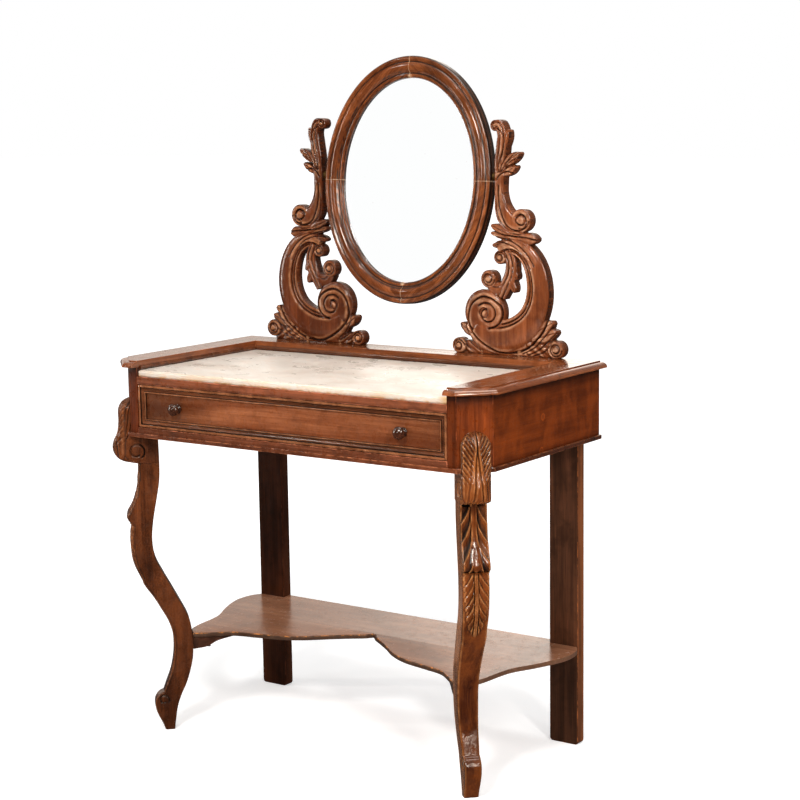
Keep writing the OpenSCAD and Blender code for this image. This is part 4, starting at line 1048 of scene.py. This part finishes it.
def screw_pattern():
    """A slotted wood screw set on every point, its tip along the point's aim."""
    p = Pattern("wood_screws", "shank_radius", "head_radius", "head_height", "length")
    shank, head, tall, length = p["shank_radius"], p["head_radius"], p["head_height"], p["length"]
    cone = p.add("MeshCone", {"Vertices": 28, "Side Segments": 2, "Fill Segments": 1, "Radius Top": shank,
                              "Radius Bottom": head, "Depth": tall})
    slot = p.add("MeshCube", {"Size": p.vector(head * 2.4, head * 0.24, tall * 0.9)})
    slotted = p.add("MeshBoolean", {"Mesh 1": cone, "Mesh 2": slot}, operation="DIFFERENCE", solver="FLOAT")
    core = p.add("MeshCone", {"Vertices": 20, "Side Segments": 6, "Radius Top": 0.0003,
                              "Radius Bottom": shank * 0.8, "Depth": length})
    turns = p.add("CurveSpiral", {
        "Resolution": 14, "Rotations": 9.0, "Start Radius": shank * 0.84, "End Radius": shank * 0.30,
        "Height": length * 0.55, "Reverse": False})
    ridge = p.add("CurvePrimitiveCircle", {"Resolution": 5, "Radius": shank * 0.15})
    thread = p.add("CurveToMesh", {"Curve": turns, "Profile Curve": ridge, "Fill Caps": True})
    thread = p.add("Transform", {"Geometry": thread, "Translation": p.vector(0.0, 0.0, length * 0.42)})
    whole = p.add("JoinGeometry", {0: [slotted, core, thread]})
    aim = p.add("InputNamedAttribute", {"Name": "aim"}, data_type="FLOAT_VECTOR")
    turned = p.add("FunctionNodeAlignRotationToVector", {"Vector": aim}, axis="Z")
    return p.close(p.add("InstanceOnPoints", {
        "Points": p["Geometry"], "Instance": whole, "Rotation": turned}))


def drive_screws():
    """The screws of the front legs and of the shelf."""
    pattern = screw_pattern()

    def drive(node, spots, aims, **sizes):
        mesh = bpy.data.meshes.new(node + "_spots")
        mesh.from_pydata([tuple(MM * v for v in p) for p in spots], [], [])
        mark(mesh, "aim", aims)
        made = pattern.grow(node.replace("_", "_wood_"), mesh, "aged_iron", sharp=40.0, head_height=0.003,
                            **sizes)
        stands_for(made, "stand", "iron", node)

    behind = -54.0
    drive("leg_screws",
          [(*on_leg(behind, 0.0, side), z) for side in (-1, 1) for z in (664.0, 692.0)],
          [(side * DIAGONAL, -DIAGONAL, 0.0) for side in (-1, 1) for _ in range(2)],
          head_radius=0.0045, shank_radius=0.0025, length=0.064)
    low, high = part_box("shelf_screws")
    drive("shelf_screws",
          [(side * (high.x / MM - 3.6), 0.5 * (low.y + high.y) / MM, low.z / MM) for side in (-1, 1)],
          [(0.0, 0.0, 1.0)] * 2, head_radius=0.0036, shank_radius=0.002, length=0.0305)


# ---- mouldings and turned pieces --------------------------------------------

def drawer_moulding():
    """The moulding planted round the drawer front, mitred at its corners."""
    low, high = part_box("drawer_front_moulding")
    x0, z0, x1, z1 = low.x / MM, low.z / MM, high.x / MM, high.z / MM
    y = high.y / MM
    profile = [(0, 0), (0, 6.2), (0.25, 6.75), (0.8, 7.0), (4.0, 7.0), (4.7, 6.8), (5.0, 6.2), (5.0, 4.4),
               (5.35, 3.7), (5.9, 3.55), (6.4, 3.9), (6.7, 4.6), (7.4, 4.75), (8.4, 4.1), (9.6, 3.2),
               (10.9, 2.6), (12.2, 2.4), (13.1, 2.2), (13.5, 2.1), (13.8, 2.5), (14.1, 3.3), (14.7, 4.0),
               (15.5, 4.2), (16.3, 3.9), (16.85, 3.1), (17.0, 2.2), (17.0, 0)]
    corners = [np.array(c) for c in ((x0, z0), (x1, z0), (x1, z1), (x0, z1))]
    rings, points, faces = 14, [], []
    for start, end in zip(corners, corners[1:] + corners[:1]):
        along = np.sign(end - start)
        inward = np.array([-along[1], along[0]])
        faces += lofted(len(profile), rings, len(points))
        for k in range(rings):
            for s, h in profile:
                head, tail = start + along * s + inward * s, end - along * s + inward * s
                at = head + (tail - head) * (k / (rings - 1))
                shrink = 0.12 if k in (0, rings - 1) and h > 1 else 0.0
                points.append((at[0], y - max(h - shrink, 0.0), at[1]))
    hollow, crest = [], []
    for px, py, pz in points:
        s, h = min(px - x0, x1 - px, pz - z0, z1 - pz), y - py
        # painted shade in the two quirks and on the outer and inner edges; painted highlight, with wear,
        # along the fillet's top and the inner bead
        quirk = 4.9 <= s <= 6.5 or 12.9 <= s <= 13.9
        hollow.append(0.95 if quirk else 0.8 if h < 6.3 and s < 1 or s > 16.6 else 0.0)
        crest.append(0.5 if abs(h - 7.0) < 0.35 or 3.8 < h < 4.25 and s > 14 else 0.0)
    made = piece("drawer_planted_moulding", points, faces, "moulding_mahogany", hollow=hollow, crest=crest)
    stands_for(made, "drawer", "carcass_wood", "drawer_front_moulding")


def surround_bead():
    """The small bead along the surround's inner face, over the marble's edge."""
    face_x, face_y, start_y = 371.9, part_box("marble_slab")[1].y / MM + 0.2, FRONT + 9.0
    profile = [(0, 766.8), (1.7, 766.9), (3.0, 767.9), (3.7, 769.4), (3.9, 771.0), (3.5, 772.6), (2.5, 773.9),
               (1.2, 774.7), (0, 774.9)]
    corners = np.array([(-face_x, start_y), (-face_x, face_y), (face_x, face_y), (face_x, start_y)])
    mitre = np.array([(1, 0), (1, -1), (-1, -1), (-1, 0)])
    points = []
    for k in range(3):
        for t in np.linspace(0, 1, 25)[k > 0:]:
            for s, h in profile:
                start, end = corners[k] + s * mitre[k], corners[k + 1] + s * mitre[k + 1]
                points.append((*(start + t * (end - start)), h))
    faces = lofted(len(profile), len(points) // len(profile))
    made = piece("surround_bead", points, faces, "moulding_mahogany")
    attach(made, "stand")


def turn_knob(side):
    """A turned knob with its tenon."""
    node = "knob_" + HAND[side]
    low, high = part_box(node)
    x, z = 0.5 * (low.x + high.x) / MM, 0.5 * (low.z + high.z) / MM
    face = low.y / MM + 24.0
    turned = [(0, 24.0), (1.8, 23.9), (4.4, 23.45), (6.8, 22.5), (9.2, 21.0), (11.1, 19.0), (12.2, 17.0),
              (12.5, 15.2), (12.2, 13.6), (11.3, 12.2), (9.8, 11.2), (8.2, 10.4), (7.0, 9.4), (6.1, 8.0),
              (5.65, 6.4), (5.7, 5.2), (6.3, 4.4), (7.6, 3.7), (8.9, 3.1), (9.35, 2.4), (9.37, 1.2)]
    tenon = [(9.3, 0.0), (4.0, 0.0), (4.0, -17.4), (3.6, -18.0), (0, -18.0)]
    line = [*smooth(turned, 3), *tenon]
    steps = 48
    angles = [math.tau * k / steps for k in range(steps)]
    points = [(x + max(r, 0.0) * math.cos(t), face - h, z + max(r, 0.0) * math.sin(t))
              for r, h in line for t in angles]
    # painted shade at the knob's neck and, fainter, round its base and tenon
    hollow = [0.8 if 3.6 < h < 8.2 else 0.3 if h < 3.6 else 0.0 for _, h in line for _ in angles]
    faces = lofted(steps, len(line), caps=0)
    made = piece("turned_" + node, points, faces, "turned_knob_mahogany", sharp=50.0, joined=1e-6,
                 hollow=hollow)
    stands_for(made, "drawer", "knob_wood", node)


# ---- the shelf --------------------------------------------------------------

def shape_shelf():
    """The shaped shelf: a rubbed and chipped front edge over its thin board."""
    low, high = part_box("shelf")
    z0, z1 = low.z / MM, high.z / MM
    leg_out, leg_in, leg_face = 406.0, 341.0, BACK - 25.0
    reach = min(leg_back_at(z1), leg_back_at(z0)) - 0.3
    tip = np.array(on_leg(reach))
    wing = 18.0 * np.array([DIAGONAL, DIAGONAL])
    side = [tip + wing, tip + wing + [8, 30], (leg_out - 39, BACK - 226), (leg_out - 13, BACK - 170),
            (leg_out + 6, BACK - 122), (leg_out + 14, BACK - 84), (leg_out + 10, BACK - 48),
            (leg_out - 2, leg_face)]
    front = [(0, BACK - 161), (13, BACK - 176), (38, BACK - 194), (72, BACK - 220), (110, BACK - 252),
             (155, BACK - 276), (210, BACK - 290), (260, BACK - 304), tip - wing + [-18, 14], tip - wing]
    front, side = smooth(front, 12), smooth(side, 10)
    right = np.vstack([front, side, [(leg_in, leg_face), (leg_in, BACK - 2.5)]])
    outline = np.vstack([right, right[:0:-1] * (-1, 1)])
    n = len(outline)
    x, y = outline.T
    in_front = (np.arange(n) < len(front)) | (np.arange(n) > n - len(front))

    # wear: the front edge is rubbed round, with small bites and one broken notch near the middle
    wave = np.random.default_rng(11).random(n)
    soft = np.convolve(np.pad(wave, 2, mode="wrap"), [0.1, 0.2, 0.4, 0.2, 0.1], "valid")
    notch = np.select([(x > 3) & (x < 11), (x >= 11) & (x < 19), (x >= 19) & (x < 30)], [4.5, 2.6, 1.2], 0.0)
    bite = 1.1 * np.maximum(0.0, soft - 0.45) * 2 + notch * (y < BACK - 150)
    bite += 1.6 * np.exp(-((x + 96.0) / 4.0) ** 2) + 1.2 * np.exp(-((x + 170.0) / 3.0) ** 2)
    bite *= in_front
    run = np.roll(outline, -1, axis=0) - np.roll(outline, 1, axis=0)
    run /= np.maximum(np.hypot(*run.T), 1e-9)[:, None]
    turned_left = np.sum(x * np.roll(y, -1) - np.roll(x, -1) * y) >= 0
    inward = np.stack([-run[:, 1], run[:, 0]], axis=1) * (1 if turned_left else -1)

    # how far in, how high and how much of the bite, from the top face's rim to the underside's
    rows = [(1.7, z1, 1.0), (0.9, z1 - 0.25, 0.95), (0.25, z1 - 0.9, 0.85), (0.0, z1 - 2.0, 0.65),
            (0.0, z0 + 2.0, 0.3), (0.4, z0 + 0.7, 0.15), (1.3, z0, 0.1)]
    points = []
    for inset, level, eaten in rows:
        edge = outline + inward * (inset * np.where(in_front, 1.0, 0.3) + bite * eaten)[:, None]
        points += [(px, py, level) for px, py in edge]
    faces, arris, hollow = [], [], []
    for k in range(len(rows) - 1):
        for i in range(n):
            j = (i + 1) % n
            faces.append([k * n + i, (k + 1) * n + i, (k + 1) * n + j, k * n + j])
            gold = 0.95 if k < 3 and soft[i] > 0.42 else 0.2 if k < 3 else 0.0
            arris.append(gold * in_front[i])
            # painted shade on the edge faces, darkest along the front, and a little on the top rim
            hollow.append(0.15 if k == 0 else 0.95 if in_front[i] else 0.6)
    for k, away in ((0, False), (len(rows) - 1, True)):
        ring = [Vector((p[0], p[1], 0.0)) for p in points[k * n:(k + 1) * n]]
        for corner in tessellate_polygon([ring]):
            face = [k * n + c for c in corner]
            faces.append(face[::-1] if away else face)
            arris.append(0.0)
            hollow.append(0.0)
    made = piece("shaped_shelf", points, faces, "shelf_mahogany", arris=arris, hollow=hollow)
    stands_for(made, "stand", "shelf_wood", "shelf")


# ---- putting it together ----------------------------------------------------

# The nodes, a star for the hand, left and then right; the finish, the body and the slot;
# and how wide the arrises are eased, in millimetres.
BOARDS = (
    ("side_panel_*", "side_mahogany", "stand", "carcass_wood", 0.8),
    ("corner_post_*", "*_post_mahogany", "stand", "carcass_wood", 1.0),
    ("foot_moulding_*", "lip_side_mahogany", "stand", "carcass_wood", 1.8),
    ("top_rail_*", "surround_side_mahogany", "stand", "top_wood", 0.7),
    ("back_leg_*", "back_leg_*_mahogany", "stand", "carcass_wood", 1.6),
    ("shelf_block_*", "wedge_mahogany", "stand", "carcass_wood", 1.0),
    ("drawer_runner_* drawer_guide_* drawer_kicker_*", "deal_front_to_back", "stand", "plain_wood", 0.6),
    ("back_corner_block_*", "deal_upright", "stand", "plain_wood", 0.6),
    ("drawer_side_*", "deal_front_to_back", "drawer", "plain_wood", 0.6),
    ("pivot_pin_*", "aged_brass", "stand", "brass", 0.4),
    ("pivot_bush_*", "aged_brass", "mirror", "brass", 0.3),
    ("upper_rail", "rail_mahogany", "stand", "carcass_wood", 0.7),
    ("lower_rail", "rail_mahogany", "stand", "carcass_wood", 0.8),
    ("foot_moulding_front", "lip_mahogany", "stand", "carcass_wood", 1.8),
    ("top_rail_back", "surround_back_mahogany", "stand", "top_wood", 0.7),
    ("marble_slab", "cream_marble", "stand", "marble", 1.0),
    ("back_panel marble_bearer", "deal_across", "stand", "plain_wood", 0.6),
    ("drawer_stops", "deal_across", "stand", "plain_wood", 0.5),
    ("drawer_front", "drawer_mahogany", "drawer", "carcass_wood", 0.7),
    ("drawer_back", "deal_across", "drawer", "plain_wood", 0.6),
    ("drawer_bottom", "deal_across", "drawer", "plain_wood", 0.5),
    ("standard_dowels", "deal_upright", "stand", "plain_wood", 0.4),
    ("mirror_sprigs", "aged_iron", "mirror", "iron", 0.2),
)


def dress_boards():
    """Every board, rail and small fitting that keeps the shape of its drawing."""
    for side in ("left", "right", ""):
        for nodes, finish, body, slot, width in BOARDS:
            for node in nodes.split():
                if ("*" in node) == bool(side):
                    softened(node.replace("*", side), finish.replace("*", side), body, slot, width)


def lay_floor():
    """A pale floor that looks white, and dims only where varnish reflects it."""
    reach = 40.0
    mesh = bpy.data.meshes.new("pale_floor")
    mesh.from_pydata([(-reach, -reach, 0), (reach, -reach, 0), (reach, reach, 0), (-reach, reach, 0)],
                     [], [[0, 1, 2, 3]])
    material = bpy.data.materials.new("pale_floor")
    paint = emptied(material)
    where = paint.add("TexCoord", out="Object")
    away = paint.add("VectorMath", {0: where}, out="Value", operation="LENGTH")
    seen = paint.math("MAXIMUM", paint.ray("Camera"), paint.ray("Singular"))
    glow = paint.add("Emission", {"Strength": seen * away.spread(0.9, 2.6, 0.46, 1.0)})
    matt = paint.add("BsdfDiffuse", {"Color": (0.82, 0.82, 0.82, 1.0)})
    lit = paint.add("AddShader", {0: matt, 1: glow})
    dim = paint.add("Emission", {"Strength": 0.07})
    in_varnish = paint.ray("Glossy") - paint.ray("Singular")
    paint.add("OutputMaterial", {"Surface": paint.add("MixShader", {0: in_varnish, 1: lit, 2: dim})})
    mesh.materials.append(material)
    placed("pale_floor", mesh)


def paint_room():
    """White surroundings that light the varnish unevenly, as a room would."""
    world = bpy.data.worlds.new("white_room")
    bpy.context.scene.world = world
    room = emptied(world)

    def ramp(axis, *ends):
        return room.axis(axis, "Generated").spread(*ends)

    wall = ramp("Z", 0.42, 0.72, 1.0, 0.0) * ramp("Y", 0.05, 0.40, 0.0, 0.92)
    wall = wall * ramp("X", -0.61, -0.48, 0.86, 2.6) * ramp("X", -0.42, -0.15, 1.0, 0.08)
    lit = wall + ramp("Z", 0.55, 0.85, 0.0, 0.8) + 0.08
    shown = room.add("Background", {"Color": (0.98, 0.99, 1.0, 1.0), "Strength": 0.25})
    for kind, strength, tint in (("Glossy", lit, (1.0, 0.93, 0.84, 1.0)), ("Singular", 1.0, WHITE),
                                 ("Transmission", 1.0, WHITE), ("Camera", 1.0, WHITE)):
        view = room.add("Background", {"Color": tint, "Strength": strength})
        shown = room.add("MixShader", {0: room.ray(kind), 1: shown, 2: view})
    room.add("OutputWorld", {"Surface": shown})


def hang_lamps():
    """Soft lamps round the piece, and four small ones for the glints in its varnish."""
    warm, middle, small = (1.0, 0.97, 0.93), (0, 0, 0.9), (0.22, 0.22)
    for name, at, aim, size, power, tint in (
            ("window_lamp", (0.8, -3.0, 2.9), (0.1, 0, 0.8), (0.55, 0.55), 86, (1.0, 0.98, 0.95)),
            ("side_lamp", (3.1, -2.2, 2.3), (0, 0, 0.7), (0.4, 1.2), 76, warm),
            ("roof_lamp", (0.4, 0.3, 3.2), (0, 0, 0.5), (1.2, 1.2), 34, WHITE[:3]),
            ("strip_lamp", (-3.4, -1.7, 1.3), (0, 0, 0.8), (0.14, 2.0), 42, warm),
            ("left_glint", (-2.4, -2.4, 3.1), middle, small, 12, WHITE[:3]),
            ("right_glint", (3.4, -1.2, 3.0), middle, small, 12, WHITE[:3]),
            ("front_glint", (0.4, -1.7, 3.7), middle, small, 12, WHITE[:3]),
            ("low_glint", (-0.6, -4.2, 1.9), middle, small, 12, WHITE[:3])):
        data = bpy.data.lights.new(name, "AREA")
        data.shape = "RECTANGLE"
        data.size, data.size_y = size
        data.energy, data.color = power, tint
        made = placed(name, data)
        made.location = at
        made.rotation_euler = (Vector(aim) - Vector(at)).to_track_quat("-Z", "Y").to_euler()


def set_camera():
    """The camera that was fitted to the photograph: where it stands, turns, looks down and leans."""
    spot = Vector((2.1810, -2.9957, 1.2745))
    turn, drop, roll = math.radians(34.5776), math.radians(8.7838), math.radians(-0.8026)
    focal, photo_width, film = 1870.49, 800.0, 36.0
    data = bpy.data.cameras.new("photo_camera")
    data.sensor_width = film
    data.lens = focal / photo_width * film
    camera = placed("photo_camera", data)
    camera.matrix_world = (Matrix.Translation(spot) @ Matrix.Rotation(turn, 4, "Z")
                           @ Matrix.Rotation(math.pi / 2 - drop, 4, "X") @ Matrix.Rotation(roll, 4, "Z"))
    bpy.context.scene.camera = camera


set_camera()
lay_floor()
paint_room()
hang_lamps()
bpy.context.scene.view_settings.view_transform = "Standard"
dress_boards()
for hand in (-1, 1):
    carve_standard(hand)
    carve_leg(hand)
    turn_knob(hand)
hang_mirror()
drive_screws()
drawer_moulding()
surround_bead()
shape_shelf()
